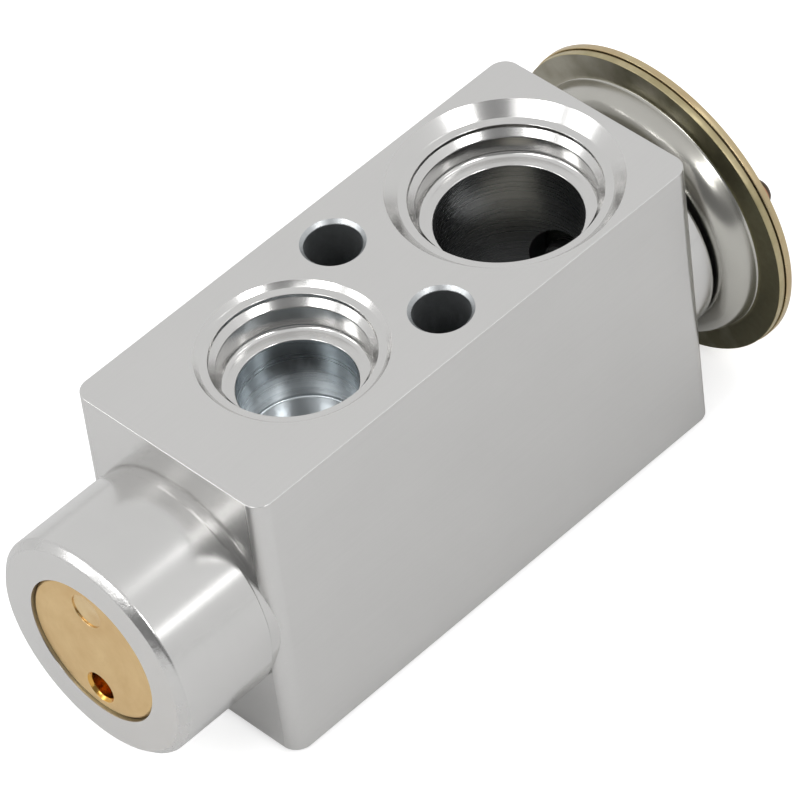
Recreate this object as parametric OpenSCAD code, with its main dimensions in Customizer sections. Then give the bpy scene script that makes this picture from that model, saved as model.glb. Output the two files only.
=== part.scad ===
// Block expansion valve, lying on its back face with the ports upwards.
// X runs along the valve's axis from the spring end (nose) to the power head, Y across the block, Z out of
// the port face. The origin is midway between the two bolt holes, on the back face. Millimetres.

/* [Block] */
// Length of the block, without nose and boss
body_length = 63.7; // [60:0.1:70]
// Width of the block across the ports
body_width = 27; // [26.9:0.1:32]
// Depth of the block, from the back face to the port face
body_depth = 36.6; // [34:0.1:42]
// Radius of the four edges that run through the block
corner_r = 2; // [0.8:0.1:3]
// Width of the break on the edges of both faces
edge_break = 0.25; // [0.1:0.05:0.6]
// Distance of the bolt holes from the nose end of the block
bolts_from_end = 32.15; // [31.5:0.05:34]

/* [Bolt and stud holes] */
// Distance between the two bolt holes
bolt_spacing = 15.6; // [14.6:0.1:17]
// Diameter of a bolt hole
bolt_hole_d = 6.2; // [5.5:0.1:6.6]
// Width of the chamfer on a bolt or stud hole
hole_chamfer = 0.42; // [0.1:0.02:0.6]
// Tapping diameter of the stud hole in the back face
stud_hole_d = 5; // [4:0.1:6]
// Depth of the stud hole
stud_hole_depth = 11; // [6:0.5:12]

/* [Suction ports] */
// Distance of the suction ports from the bolt holes
suction_x = 17.6; // [16.8:0.1:18]
// Diameter of the chamfered rim in the face
suction_rim_d = 25.4; // [24:0.1:26.2]
// Depth of the rim, a 45 degree cone
suction_rim_depth = 1.45; // [0.6:0.05:1.6]
// Diameter of the bore that takes the pipe's seal ring
suction_seal_d = 19.2; // [18.2:0.1:20]
// Depth of the floor of the seal bore
suction_seal_depth = 4.7; // [4:0.1:5.4]
// Diameter of the passage through the block
suction_d = 16; // [14.5:0.1:16.4]

/* [Liquid ports] */
// Distance of the front liquid port from the bolt holes
liquid_front_x = 13.8; // [13.6:0.1:14.4]
// Distance of the back liquid port from the bolt holes
liquid_back_x = 20.3; // [19.9:0.1:21]
// Diameter of the chamfered rim in the face
liquid_rim_d = 20.4; // [19.4:0.1:21]
// Depth of the rim, a 45 degree cone
liquid_rim_depth = 0.6; // [0.4:0.05:0.9]
// Diameter of the bore that takes the pipe's seal ring
liquid_seal_d = 16; // [15.4:0.1:16.8]
// Depth of the floor of the seal bore
liquid_seal_depth = 4.4; // [3.6:0.1:5]
// Diameter of the blind bore below the seal bore
liquid_d = 12.8; // [12:0.1:13.6]
// Radial width of the lead-in cone of a seal bore
lead_in = 0.6; // [0.3:0.05:0.7]
// Depth of the short step above the lead-in cone
lead_step = 0.5; // [0.2:0.05:0.7]
// Wall left between a liquid bore and the seat's bore
liquid_web = 0.9; // [0.7:0.1:1.6]

/* [Nose and boss] */
// Diameter of the nose
nose_d = 26.6; // [24:0.1:26.8]
// Length of the nose
nose_length = 13.45; // [13:0.05:16]
// Chamfer on the front of the nose
nose_chamfer = 0.8; // [0.5:0.1:1.2]
// Depth of the turned relief at the root of the nose
nose_relief = 0.25; // [0.1:0.05:0.4]
// Diameter of the boss that carries the power head
boss_d = 26; // [25:0.1:26.8]
// Length of the boss
boss_length = 2.4; // [2:0.1:4]

/* [Adjusting screw] */
// Diameter over the thread
screw_d = 17.5; // [16.6:0.1:19]
// Whole length
screw_length = 13.6; // [13:0.1:14]
// Length of the threaded part
screw_thread_length = 8.1; // [7.5:0.1:8.6]
// How far the screw's face lies inside the nose
screw_recess = 0.3; // [0.1:0.05:0.8]
// Thickness of the solid end, with the spanner holes
screw_end_t = 4.5; // [4:0.1:5.5]
// Diameter of the plain spigot behind the thread
spigot_d = 15.08; // [14.6:0.02:16]
// Diameter of the spanner hole
spanner_hole_d = 3.2; // [2:0.1:4]
// Distance of hole and sink from the axis
spanner_hole_r = 5.75; // [4.5:0.05:6]
// Depth of the spanner hole below the axis
spanner_hole_depth = 2.6; // [1:0.1:3]
// Diameter of the shallow sink above the axis
spanner_mark_d = 4.2; // [3:0.1:4.6]
// Depth of that sink
spanner_mark_depth = 0.2; // [0.1:0.05:0.6]
// Travel of the screw each way from where it was set
screw_travel = 1; // [0.5:0.1:1.2]
// Diameter of the section of its seal ring
screw_seal_t = 1.45; // [1.2:0.05:1.8]

/* [Valve] */
// Diameter of the ball
ball_d = 5.8; // [5.4:0.1:6.4]
// Diameter of the orifice that the ball closes
orifice_d = 4.2; // [3.4:0.1:4.4]
// Outside diameter of the pressed-in orifice ring
orifice_ring_d = 8.4; // [8:0.1:9]
// Thickness of the orifice ring
orifice_ring_t = 2.2; // [1.8:0.1:2.6]
// Opening travel of the ball
lift = 0.8; // [0.4:0.1:1]
// Diameter of the outlet chamber behind the orifice
outlet_d = 6.6; // [5.6:0.1:7.2]
// Diameter of the drilling between the outlet chamber and its port
outlet_drill_d = 6.4; // [5:0.1:6.6]
// Diameter of the thin rod between ball and sensing rod
pin_d = 2.4; // [2:0.1:2.8]
// Diameter of the flange of the ball's support
support_d = 13.2; // [12:0.1:13.8]
// Thickness of that flange
support_t = 1.2; // [0.8:0.1:1.6]
// Thickness of the sheet of the damper spring
damper_t = 0.25; // [0.15:0.05:0.35]
// Number of legs on the damper spring
damper_legs = 4; // [3:1:6]
// Length of a leg
damper_leg_length = 3.2; // [2:0.1:4]
// Wire diameter of the coil spring
spring_wire_d = 1.4; // [1:0.1:1.6]
// Outside diameter of the coil spring
spring_d = 9.8; // [9:0.1:10]
// Number of turns of the coil spring
spring_turns = 6.5; // [5:0.5:7]

/* [Sensing rod] */
// Diameter of the sensing rod
rod_d = 6; // [5.6:0.1:6.4]
// Diameter of its neck in the suction passage
rod_neck_d = 5.2; // [4.6:0.1:5.4]
// Length of its guide in the block
guide_length = 7.6; // [7:0.1:8]
// Length of the plastic sleeve on the neck
sleeve_length = 8.6; // [6:0.1:10]
// Outside diameter of that sleeve
sleeve_d = 7; // [6.8:0.1:8.4]
// Depth of the gland for the rod's seal ring
gland_depth = 3.8; // [3.4:0.1:4.2]
// Diameter of the section of the rod's seal ring
rod_seal_t = 1.8; // [1.4:0.1:1.9]
// Thickness of the washer on the seal ring
washer_t = 0.6; // [0.4:0.1:0.8]
// Thickness of the toothed ring that holds the washer
retainer_t = 0.4; // [0.3:0.05:0.5]
// Number of teeth on that ring
retainer_teeth = 6; // [4:1:8]
// Diameter of the opening between suction passage and power head
head_opening_d = 9.4; // [9:0.1:10.6]

/* [Power head] */
// Diameter over the power head's rim
head_d = 38; // [34:0.2:40]
// Thickness of the sheet of both covers
cover_t = 0.8; // [0.6:0.05:1]
// Diameter of the lower cover's wall at the flange
cup_d = 32; // [30:0.1:33]
// Height of the lower cover, from its base to the top of its flange
cup_height = 4.15; // [4.05:0.05:5.4]
// Gap between the boss and the lower cover
cup_gap = 0.5; // [0.2:0.1:1]
// Height of the upper cover
cap_height = 4; // [3:0.1:6]
// Diameter over the thread of the neck
neck_d = 18; // [17:0.1:18.6]
// Bore of the neck
neck_bore_d = 10.4; // [10:0.1:11]
// Width of the collar that holds the neck in the lower cover
neck_collar = 1.4; // [0.8:0.1:2]
// Diameter of the section of the seal ring under the lower cover
head_seal_t = 2; // [1.6:0.1:2.2]
// Thickness of the diaphragm
diaphragm_t = 0.15; // [0.1:0.05:0.2]
// Diameter of the stopper plate under the diaphragm
stopper_d = 25; // [22:0.5:25.5]
// Thickness of the stopper plate
stopper_t = 1.1; // [0.8:0.1:1.2]
// Diameter of the closed charging tube
tube_d = 3.4; // [2.6:0.1:4]
// Distance of the charging tube from the axis
tube_offset = 8.1; // [6.5:0.1:9]
// Length of the tube that stands out of the upper cover
tube_length = 4.4; // [2:0.1:6]

/* [Hidden] */
$fn = 96;

// Radial gaps: between pieces that slide, and between pieces that are pressed or screwed together
run_gap = 0.05;
seat_gap = 0.02;
// Axial gap of a piece at the end of its travel, and of the closed ball from its seat
end_gap = 0.2;
ball_gap = 0.05;
// Length by which a cutter stands out of what it cuts
over = 1;
// Width of the cone between the wall and the floor of a seal bore
seal_root = 0.4;

// Places along the axis, from the nose to the power head
axis_z = body_depth / 2;
x_end = -bolts_from_end;
x_far = x_end + body_length;
x_tip = x_end - nose_length;
x_boss = x_far + boss_length;
x_liquid_front = -liquid_front_x;
x_liquid_back = -liquid_back_x;

// Adjusting screw, from its face inwards
x_screw = x_tip + screw_recess;
x_thread_end = x_screw + screw_thread_length;
x_screw_end = x_screw + screw_length;
x_spring_floor = x_screw + screw_end_t;
screw_relief = 0.6;
x_shoulder = x_thread_end + screw_relief + screw_travel + end_gap;
chamber_r = spigot_d / 2 + run_gap;
screw_seal_x = x_screw_end - 2.3;
screw_groove_r = chamber_r - screw_seal_t - 2 * seat_gap;
screw_groove_w = screw_seal_t + 0.7;

// Orifice, outlet chamber and the bore of the thin pin
outlet_wall = 2.2;
x_outlet = x_liquid_front - outlet_drill_d / 2 - outlet_wall;
x_outlet_end = x_liquid_front + outlet_drill_d / 2 + 1.6;
x_ring = x_outlet - orifice_ring_t;
x_chamber_end = x_ring - 1.8;
seat_cone = 0.5;
ball_r = ball_d / 2;
x_ball = x_ring + seat_cone - sqrt(pow(ball_r, 2) - pow(orifice_d / 2, 2)) - ball_gap;

// Support of the ball and its coil spring
support_cup_r = 3.6;
x_cup = x_ball - 1.7;
x_support = x_ball - ball_r - 0.2;
x_flange = x_support - support_t;
support_spigot = 2.8;
spring_r = (spring_d - spring_wire_d) / 2;
spring_bore_r = spring_d / 2 + 0.25;

// Guide of the sensing rod and its gland
suction_wall_x = suction_x - suction_d / 2;
x_gland = suction_wall_x - gland_depth;
x_guide = x_gland - guide_length;
x_rod = x_guide + lift + 2 * end_gap;
pin_in_rod = 4;
gland_r = rod_d / 2 + rod_seal_t + 2 * seat_gap;
x_washer = x_gland + rod_seal_t + 2 * seat_gap;
x_retainer = x_washer + washer_t + seat_gap;

// Power head, from its threaded bore outwards
x_head_bore = suction_x + suction_d / 2 + 1;
x_neck = x_head_bore + 0.7;
x_cup_base = x_boss + cup_gap;
x_cup_floor = x_cup_base + cover_t;
x_flange_top = x_cup_base + cup_height;
x_cap = x_flange_top + diaphragm_t;
x_cap_top = x_cap + cap_height;
collar_t = 0.6;
seal_mouth_r = neck_d / 2 + head_seal_t + 2 * seat_gap;
seal_mouth_depth = head_seal_t + 2 * seat_gap - cup_gap;
diaphragm_drop = 0.5;
x_stopper_top = x_flange_top - diaphragm_drop - seat_gap;
x_stopper = x_stopper_top - stopper_t;
stopper_edge = 0.4;
stopper_hub_r = 4.6;
stopper_hub = 3.4;
x_rod_top = x_stopper_top - stopper_t / 2;

// Points of an arc round c, from angle a0 to a1
function arc(c, r, a0, a1, n = 8) = [for (i = [0 : n]) let (a = a0 + (a1 - a0) * i / n) c + r * [cos(a), sin(a)]];

// Unit normal of a path at point i, from its neighbours
function normal(p, i) = let (a = p[max(i - 1, 0)], b = p[min(i + 1, len(p) - 1)], d = (b - a) / norm(b - a))
  [-d[1], d[0]];

// Turns what is drawn along Z to lie along the valve's axis, starting at x
module along_axis(x = 0) {
  translate([x, 0, axis_z]) rotate([0, 90, 0]) children();
}

// A turned solid from points [radius, x]
module turned(points) {
  along_axis() rotate_extrude() polygon(points);
}

// A round bore or bar on the axis, from x0 to x1
module round_bar(x0, x1, r) {
  along_axis(x0) cylinder(h = x1 - x0, r = r);
}

// A pressed sheet turned from its middle line, with a small bevel at its outer end
module pressed_sheet(path, t, bevel) {
  last = len(path) - 1;
  tip = path[last] + bevel * (path[last] - path[last - 1]) / norm(path[last] - path[last - 1]);
  turned(concat([for (i = [0 : last]) path[i] + normal(path, i) * t / 2],
    [tip + normal(path, last) * (t / 2 - bevel), tip - normal(path, last) * (t / 2 - bevel)],
    [for (i = [last : -1 : 0]) path[i] - normal(path, i) * t / 2]));
}

// A ring with a round section on the axis
module seal_ring(x, r, t) {
  along_axis(x) rotate_extrude() translate([r, 0]) circle(d = t, $fn = 32);
}

// Cutter of a port, drawn from the face into the block
module port_cutter(rim_d, rim_depth, seal_d, seal_depth, bore_d, depth) {
  lead_r = seal_d / 2 + lead_in;
  step = rim_depth + lead_step;
  rotate_extrude() polygon([[0, -over], [rim_d / 2, -over], [rim_d / 2, 0], [rim_d / 2 - rim_depth, rim_depth],
    [lead_r, rim_depth], [lead_r, step], [seal_d / 2, step + 1.4 * lead_in], [seal_d / 2, seal_depth],
    [seal_d / 2 - seal_root, seal_depth + seal_root], [bore_d / 2, seal_depth + seal_root],
    [bore_d / 2, depth], [0, depth]]);
}

// Puts a cutter on the front or on the back face
module on_front(x, y = 0) {
  translate([x, y, body_depth]) mirror([0, 0, 1]) children();
}
module on_back(x, y = 0) {
  translate([x, y, 0]) children();
}

// Chamfered hole of depth h, drawn from the face into the block
module chamfered_hole(d, h) {
  translate([0, 0, -over]) cylinder(h = h + over, d = d);
  translate([0, 0, -over]) cylinder(h = over + hole_chamfer, r1 = d / 2 + hole_chamfer + over, r2 = d / 2);
}

// Outline of a rectangle a by b, with broken corners
module broken_rect(a, b) {
  c = edge_break;
  polygon([[c, 0], [a - c, 0], [a, c], [a, b - c], [a - c, b], [c, b], [0, b - c], [0, c]]);
}

// Block with rounded upright edges and broken face edges: two crossed bars and four turned corner posts
module block() {
  translate([x_end + corner_r, -body_width / 2, 0]) rotate([90, 0, 90])
    linear_extrude(body_length - 2 * corner_r) broken_rect(body_width, body_depth);
  translate([x_end, body_width / 2 - corner_r, 0]) rotate([90, 0, 0])
    linear_extrude(body_width - 2 * corner_r) broken_rect(body_length, body_depth);
  for (x = [x_end + corner_r, x_far - corner_r], y = [-1, 1])
    translate([x, y * (body_width / 2 - corner_r), 0]) rotate_extrude()
      polygon([[0, 0], [corner_r - edge_break, 0], [corner_r, edge_break],
        [corner_r, body_depth - edge_break], [corner_r - edge_break, body_depth], [0, body_depth]]);
}

module valve_body() {
  nose_r = nose_d / 2;
  boss_r = boss_d / 2;
  liquid_depth = axis_z - orifice_ring_d / 2 - liquid_web;
  color("silver") difference() {
    union() {
      block();
      // The nose reaches into the block, so that it also meets the rounded edges
      turned([[0, x_tip], [nose_r - nose_chamfer, x_tip], [nose_r, x_tip + nose_chamfer],
        [nose_r, x_end - 2 * nose_relief], [nose_r - nose_relief, x_end - 2 * nose_relief],
        [nose_r - nose_relief, x_end], [nose_r, x_end], [nose_r, x_end + corner_r], [0, x_end + corner_r]]);
      turned([[0, x_far - corner_r], [boss_r, x_far - corner_r], [boss_r, x_boss - 0.4], [boss_r - 0.4, x_boss],
        [0, x_boss]]);
    }
    // Ports
    on_front(suction_x) port_cutter(suction_rim_d, suction_rim_depth, suction_seal_d, suction_seal_depth,
      suction_d, axis_z);
    on_back(suction_x) port_cutter(suction_rim_d, suction_rim_depth, suction_seal_d, suction_seal_depth,
      suction_d, axis_z + over);
    on_front(x_liquid_front) port_cutter(liquid_rim_d, liquid_rim_depth, liquid_seal_d, liquid_seal_depth,
      liquid_d, liquid_depth);
    on_back(x_liquid_back) port_cutter(liquid_rim_d, liquid_rim_depth, liquid_seal_d, liquid_seal_depth,
      liquid_d, liquid_depth);
    translate([x_liquid_front, 0, axis_z]) cylinder(h = axis_z - liquid_depth + over, d = outlet_drill_d);
    // Bolt holes right through, and the stud hole
    for (y = [-1, 1] * bolt_spacing / 2) {
      on_front(0, y) chamfered_hole(bolt_hole_d, body_depth + over);
      on_back(0, y) chamfered_hole(bolt_hole_d, axis_z);
    }
    on_back(0) chamfered_hole(stud_hole_d, stud_hole_depth);
    // Bores on the axis
    round_bar(x_tip - over, x_shoulder, screw_d / 2 + seat_gap);
    round_bar(x_tip - over, x_chamber_end, chamber_r);
    round_bar(x_chamber_end - over, x_outlet, orifice_ring_d / 2);
    round_bar(x_outlet - over, x_outlet_end, outlet_d / 2);
    round_bar(x_outlet, x_gland, pin_d / 2 + run_gap);
    round_bar(x_guide, x_gland + over, rod_d / 2 + run_gap);
    round_bar(x_gland, suction_x, gland_r);
    round_bar(suction_x, x_head_bore + over, head_opening_d / 2);
    round_bar(x_head_bore, x_boss + over, neck_d / 2 + seat_gap);
    round_bar(x_boss - seal_mouth_depth, x_boss + over, seal_mouth_r);
  }
}

module adjusting_screw() {
  r = screw_d / 2;
  edge = 0.3;
  half_groove = screw_groove_w / 2;
  color("goldenrod") difference() {
    turned([[0, x_screw], [r - edge, x_screw], [r, x_screw + edge], [r, x_thread_end],
      [spigot_d / 2 - screw_relief, x_thread_end + screw_relief],
      [spigot_d / 2 - screw_relief, x_thread_end + 2 * screw_relief],
      [spigot_d / 2, x_thread_end + 3 * screw_relief], [spigot_d / 2, screw_seal_x - half_groove],
      [screw_groove_r, screw_seal_x - half_groove], [screw_groove_r, screw_seal_x + half_groove],
      [spigot_d / 2, screw_seal_x + half_groove], [spigot_d / 2, x_screw_end - edge],
      [spigot_d / 2 - edge, x_screw_end], [spring_bore_r, x_screw_end], [spring_bore_r, x_spring_floor],
      [0, x_spring_floor]]);
    translate([x_screw - over, 0, axis_z - spanner_hole_r]) rotate([0, 90, 0])
      cylinder(h = over + spanner_hole_depth, d = spanner_hole_d);
    translate([x_screw - over, 0, axis_z + spanner_hole_r]) rotate([0, 90, 0])
      cylinder(h = over + spanner_mark_depth, d = spanner_mark_d);
  }
}

module screw_seal_ring() {
  color("#202020") seal_ring(screw_seal_x, screw_groove_r + seat_gap + screw_seal_t / 2, screw_seal_t);
}

// Coil with closed ends: its rise is slow over the first and the last turn
module bias_spring() {
  steps = 24;
  sides = 8;
  x0 = x_spring_floor + spring_wire_d / 2 + seat_gap;
  x1 = x_flange - spring_wire_d / 2 - seat_gap;
  closed = spring_wire_d * 1.04;
  pitch = (x1 - x0 - 2 * closed) / (spring_turns - 2);
  rise = function(t) t < 1 ? t * closed : t > spring_turns - 1 ? x1 - x0 - (spring_turns - t) * closed
    : closed + (t - 1) * pitch;
  n = steps * spring_turns;
  points = [for (i = [0 : n], j = [0 : sides - 1])
    let (turn = i / steps, a = 360 * turn, b = 360 * (j + 0.5) / sides,
      r = spring_r + spring_wire_d / 2 * cos(b), x = x0 + rise(turn) + spring_wire_d / 2 * sin(b))
    [r * cos(a), r * sin(a), x]];
  quads = [for (i = [0 : n - 1], j = [0 : sides - 1]) let (k = (j + 1) % sides)
    [i * sides + j, i * sides + k, (i + 1) * sides + k, (i + 1) * sides + j]];
  ends = [[for (j = [sides - 1 : -1 : 0]) j], [for (j = [0 : sides - 1]) n * sides + j]];
  color("gray") along_axis() polyhedron(points, concat(quads, ends));
}

module ball_support() {
  color("darkkhaki") difference() {
    turned([[0, x_flange - support_spigot], [spring_r - spring_wire_d / 2 - 0.7, x_flange - support_spigot],
      [spring_r - spring_wire_d / 2 - 0.15, x_flange - support_spigot + 0.6],
      [spring_r - spring_wire_d / 2 - 0.15, x_flange], [support_d / 2, x_flange], [support_d / 2, x_support],
      [support_cup_r, x_support], [support_cup_r, x_cup], [0, x_cup]]);
    along_axis(x_ball) sphere(r = ball_r + seat_gap);
  }
}

// Thin ring on the support, with legs that rub along the chamber's wall
module damper_spring() {
  leg_w = 2.6;
  outer_r = chamber_r - run_gap;
  color("lightsteelblue") difference() {
    turned([[support_cup_r + seat_gap, x_support], [support_d / 2, x_support],
      [outer_r - damper_t, x_support - damper_t], [outer_r - damper_t, x_support - damper_leg_length],
      [outer_r, x_support - damper_leg_length], [outer_r, x_support], [outer_r - damper_t, x_support + damper_t],
      [support_cup_r + seat_gap, x_support + damper_t]]);
    for (i = [0 : damper_legs - 1]) along_axis(x_support - damper_leg_length - over)
      rotate([0, 0, 360 * (i + 0.5) / damper_legs]) difference() {
        translate([0, -chamber_r, 0]) cube([2 * chamber_r, 2 * chamber_r, damper_leg_length + over + 2 * damper_t]);
        cylinder(h = damper_leg_length + 2 * over, r = support_d / 2);
        for (s = [-1, 1]) rotate([0, 0, s * 180 / damper_legs])
          translate([0, s > 0 ? -leg_w / 2 : -2 * chamber_r, 0])
            cube([2 * chamber_r, 2 * chamber_r + leg_w / 2, damper_leg_length + 2 * over]);
      }
  }
}

module valve_ball() {
  color("lightgray") along_axis(x_ball) sphere(r = ball_r);
}

module orifice_ring() {
  color("lightslategray") turned([[orifice_d / 2 + seat_cone, x_ring], [orifice_ring_d / 2 - 0.2, x_ring],
    [orifice_ring_d / 2, x_ring + 0.2], [orifice_ring_d / 2, x_outlet], [orifice_d / 2, x_outlet],
    [orifice_d / 2, x_ring + seat_cone]]);
}

module operating_pin() {
  x0 = x_ball + ball_r;
  x1 = x_rod + pin_in_rod;
  color("lightgray") turned([[0, x0], [pin_d / 2 - 0.2, x0], [pin_d / 2, x0 + 0.2], [pin_d / 2, x1 - 0.2],
    [pin_d / 2 - 0.2, x1], [0, x1]]);
}

module sensing_rod() {
  r = rod_d / 2;
  x_neck_start = suction_wall_x + 1;
  x_neck_end = suction_x + suction_d / 2 - 1;
  color("gainsboro") turned([[pin_d / 2 + seat_gap, x_rod], [r - 0.3, x_rod], [r, x_rod + 0.3],
    [r, x_neck_start], [rod_neck_d / 2, x_neck_start + 0.4], [rod_neck_d / 2, x_neck_end - 0.4],
    [r, x_neck_end], [r, x_rod_top - 0.3], [r - 0.3, x_rod_top], [0, x_rod_top],
    [0, x_rod + pin_in_rod + seat_gap], [pin_d / 2 + seat_gap, x_rod + pin_in_rod + seat_gap]]);
}

module rod_sleeve() {
  x0 = suction_wall_x + 1.8;
  x1 = x0 + sleeve_length;
  r0 = rod_neck_d / 2 + seat_gap;
  color("ivory") turned([[r0, x0], [sleeve_d / 2 - 0.4, x0], [sleeve_d / 2, x0 + 0.4], [sleeve_d / 2, x1 - 0.4],
    [sleeve_d / 2 - 0.4, x1], [r0, x1]]);
}

module rod_seal_ring() {
  color("#202020") seal_ring(x_gland + seat_gap + rod_seal_t / 2, rod_d / 2 + seat_gap + rod_seal_t / 2, rod_seal_t);
}

module rod_seal_washer() {
  r0 = rod_d / 2 + run_gap;
  r1 = gland_r - seat_gap;
  color("white") turned([[r0, x_washer], [r1, x_washer], [r1, x_washer + washer_t], [r0, x_washer + washer_t]]);
}

// Sheet ring whose outer teeth bite into the gland's wall
module rod_seal_retainer() {
  r0 = rod_d / 2 + 0.3;
  r1 = gland_r - seat_gap;
  color("silver") difference() {
    round_bar(x_retainer, x_retainer + retainer_t, r1);
    round_bar(x_retainer - over, x_retainer + retainer_t + over, r0);
    for (i = [0 : retainer_teeth - 1]) along_axis(x_retainer - over) rotate([0, 0, 360 * i / retainer_teeth])
      translate([r1 - (r1 - r0) * 0.5, -0.5, 0]) cube([2 * r1, 1, retainer_t + 2 * over]);
  }
}

module diaphragm_stopper() {
  r = stopper_d / 2;
  color("lightgray") difference() {
    turned([[rod_d / 2 + seat_gap, x_stopper - stopper_hub], [stopper_hub_r - stopper_edge, x_stopper - stopper_hub],
      [stopper_hub_r, x_stopper - stopper_hub + stopper_edge], [stopper_hub_r, x_stopper], [r - stopper_edge, x_stopper],
      [r, x_stopper + stopper_edge], [r, x_stopper_top - stopper_edge], [r - stopper_edge, x_stopper_top], [0, x_stopper_top],
      [0, x_rod_top + seat_gap], [rod_d / 2 + seat_gap, x_rod_top + seat_gap]]);
    for (a = [0 : 60 : 300]) along_axis(x_stopper - over) rotate([0, 0, a]) translate([r * 0.68, 0, 0])
      cylinder(h = stopper_t + 2 * over, d = 1.8, $fn = 32);
  }
}

// Thin corrugated disc: flat over the stopper, one wave inside the cup, and a flat clamped rim
module diaphragm() {
  r_flat = stopper_d / 2 - stopper_edge;
  r_rim = cup_d / 2 - cover_t;
  drop = diaphragm_drop;
  wave = [for (i = [0 : 12]) let (u = i / 12)
    [r_flat + u * (r_rim - r_flat), x_flange_top - drop * (1 + cos(180 * u)) / 2 - 0.25 * sin(180 * u) * sin(180 * u)]];
  path = [for (p = concat([[0, x_flange_top - drop]], wave, [[head_d / 2 - 0.5, x_flange_top]]))
    p + [0, diaphragm_t / 2]];
  color("gainsboro") turned(concat([for (p = path) p - [0, diaphragm_t / 2]],
    [for (i = [len(path) - 1 : -1 : 0]) path[i] + [0, diaphragm_t / 2]]));
}

// Pressed cup: base round the neck, rounded corner, slightly flared wall and flat flange
module lower_cover() {
  h = cover_t / 2;
  bend = 2.1;
  root = 0.5;
  r_wall = cup_d / 2 - 0.4 - h;
  r_flange = cup_d / 2 + root - h;
  x_base = x_cup_base + h;
  x_rim = x_flange_top - h;
  path = concat([[neck_d / 2 + seat_gap, x_base]], arc([r_wall - bend, x_base + bend], bend, -90, 0),
    arc([r_flange, x_rim - root], root, 180, 90, 6), [[head_d / 2 - 0.4, x_rim]]);
  color("darkkhaki") pressed_sheet(path, cover_t, 0.25);
}

// Pressed cap: flat flange, rounded shoulder and a flat top with the hole for the charging tube
module upper_cover() {
  h = cover_t / 2;
  root = 0.9;
  shoulder = 1.8;
  r_flange = cup_d / 2 + 0.6;
  r_top = cup_d / 2 - 3.4;
  x_rim = x_cap + h;
  x_top = x_cap_top - h;
  path = concat([[0, x_top]], arc([r_top, x_top - shoulder], shoulder, 90, 35),
    arc([r_flange, x_rim + root], root, 215, 270, 6), [[head_d / 2 - 0.25, x_rim]]);
  color("goldenrod") difference() {
    pressed_sheet(path, cover_t, 0.25);
    translate([x_cap, -tube_offset, axis_z]) rotate([0, 90, 0]) cylinder(h = cap_height + over, d = tube_d + 2 * seat_gap);
  }
}

// Threaded neck, held in the lower cover by a collar
module head_neck() {
  r = neck_d / 2;
  r0 = neck_bore_d / 2;
  color("lightgray") turned([[r0, x_neck], [r - 0.6, x_neck], [r, x_neck + 0.6], [r, x_cup_floor],
    [r + neck_collar, x_cup_floor], [r + neck_collar, x_cup_floor + collar_t - 0.3],
    [r + neck_collar - 0.3, x_cup_floor + collar_t], [r0, x_cup_floor + collar_t]]);
}

module head_seal_ring() {
  color("#202020") seal_ring(x_cup_base - seat_gap - head_seal_t / 2, neck_d / 2 + seat_gap + head_seal_t / 2,
    head_seal_t);
}

// Copper tube through the upper cover, closed by a round end
module charging_tube() {
  r = tube_d / 2;
  bore_r = r - 0.6;
  x_in = x_cap_top - cover_t - 0.3;
  x_tube_tip = x_cap_top + tube_length;
  color("peru") translate([0, -tube_offset, 0]) turned(concat([[bore_r, x_in], [r, x_in]],
    arc([r - 1.2, x_tube_tip - 1.2], 1.2, 0, 90), [[0, x_tube_tip], [0, x_tube_tip - 1.4], [bore_r, x_tube_tip - 1.4]]));
}

valve_body();
adjusting_screw();
screw_seal_ring();
bias_spring();
ball_support();
damper_spring();
valve_ball();
orifice_ring();
operating_pin();
sensing_rod();
rod_sleeve();
rod_seal_ring();
rod_seal_washer();
rod_seal_retainer();
diaphragm_stopper();
diaphragm();
lower_cover();
upper_cover();
head_neck();
head_seal_ring();
charging_tube();
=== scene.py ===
"""Looks of a block expansion valve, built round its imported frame.

The frame's coordinates are used throughout: X runs along the valve's axis towards the power head, Y
across the block and Z out of the port face. Sizes in the classes are millimetres, and every mesh is made
in metres.
"""

from __future__ import annotations

import logging
import math
from collections.abc import Callable
from dataclasses import dataclass, replace
from enum import Enum

import bmesh
import bpy
import numpy as np
from mathutils import Matrix, Vector

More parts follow.
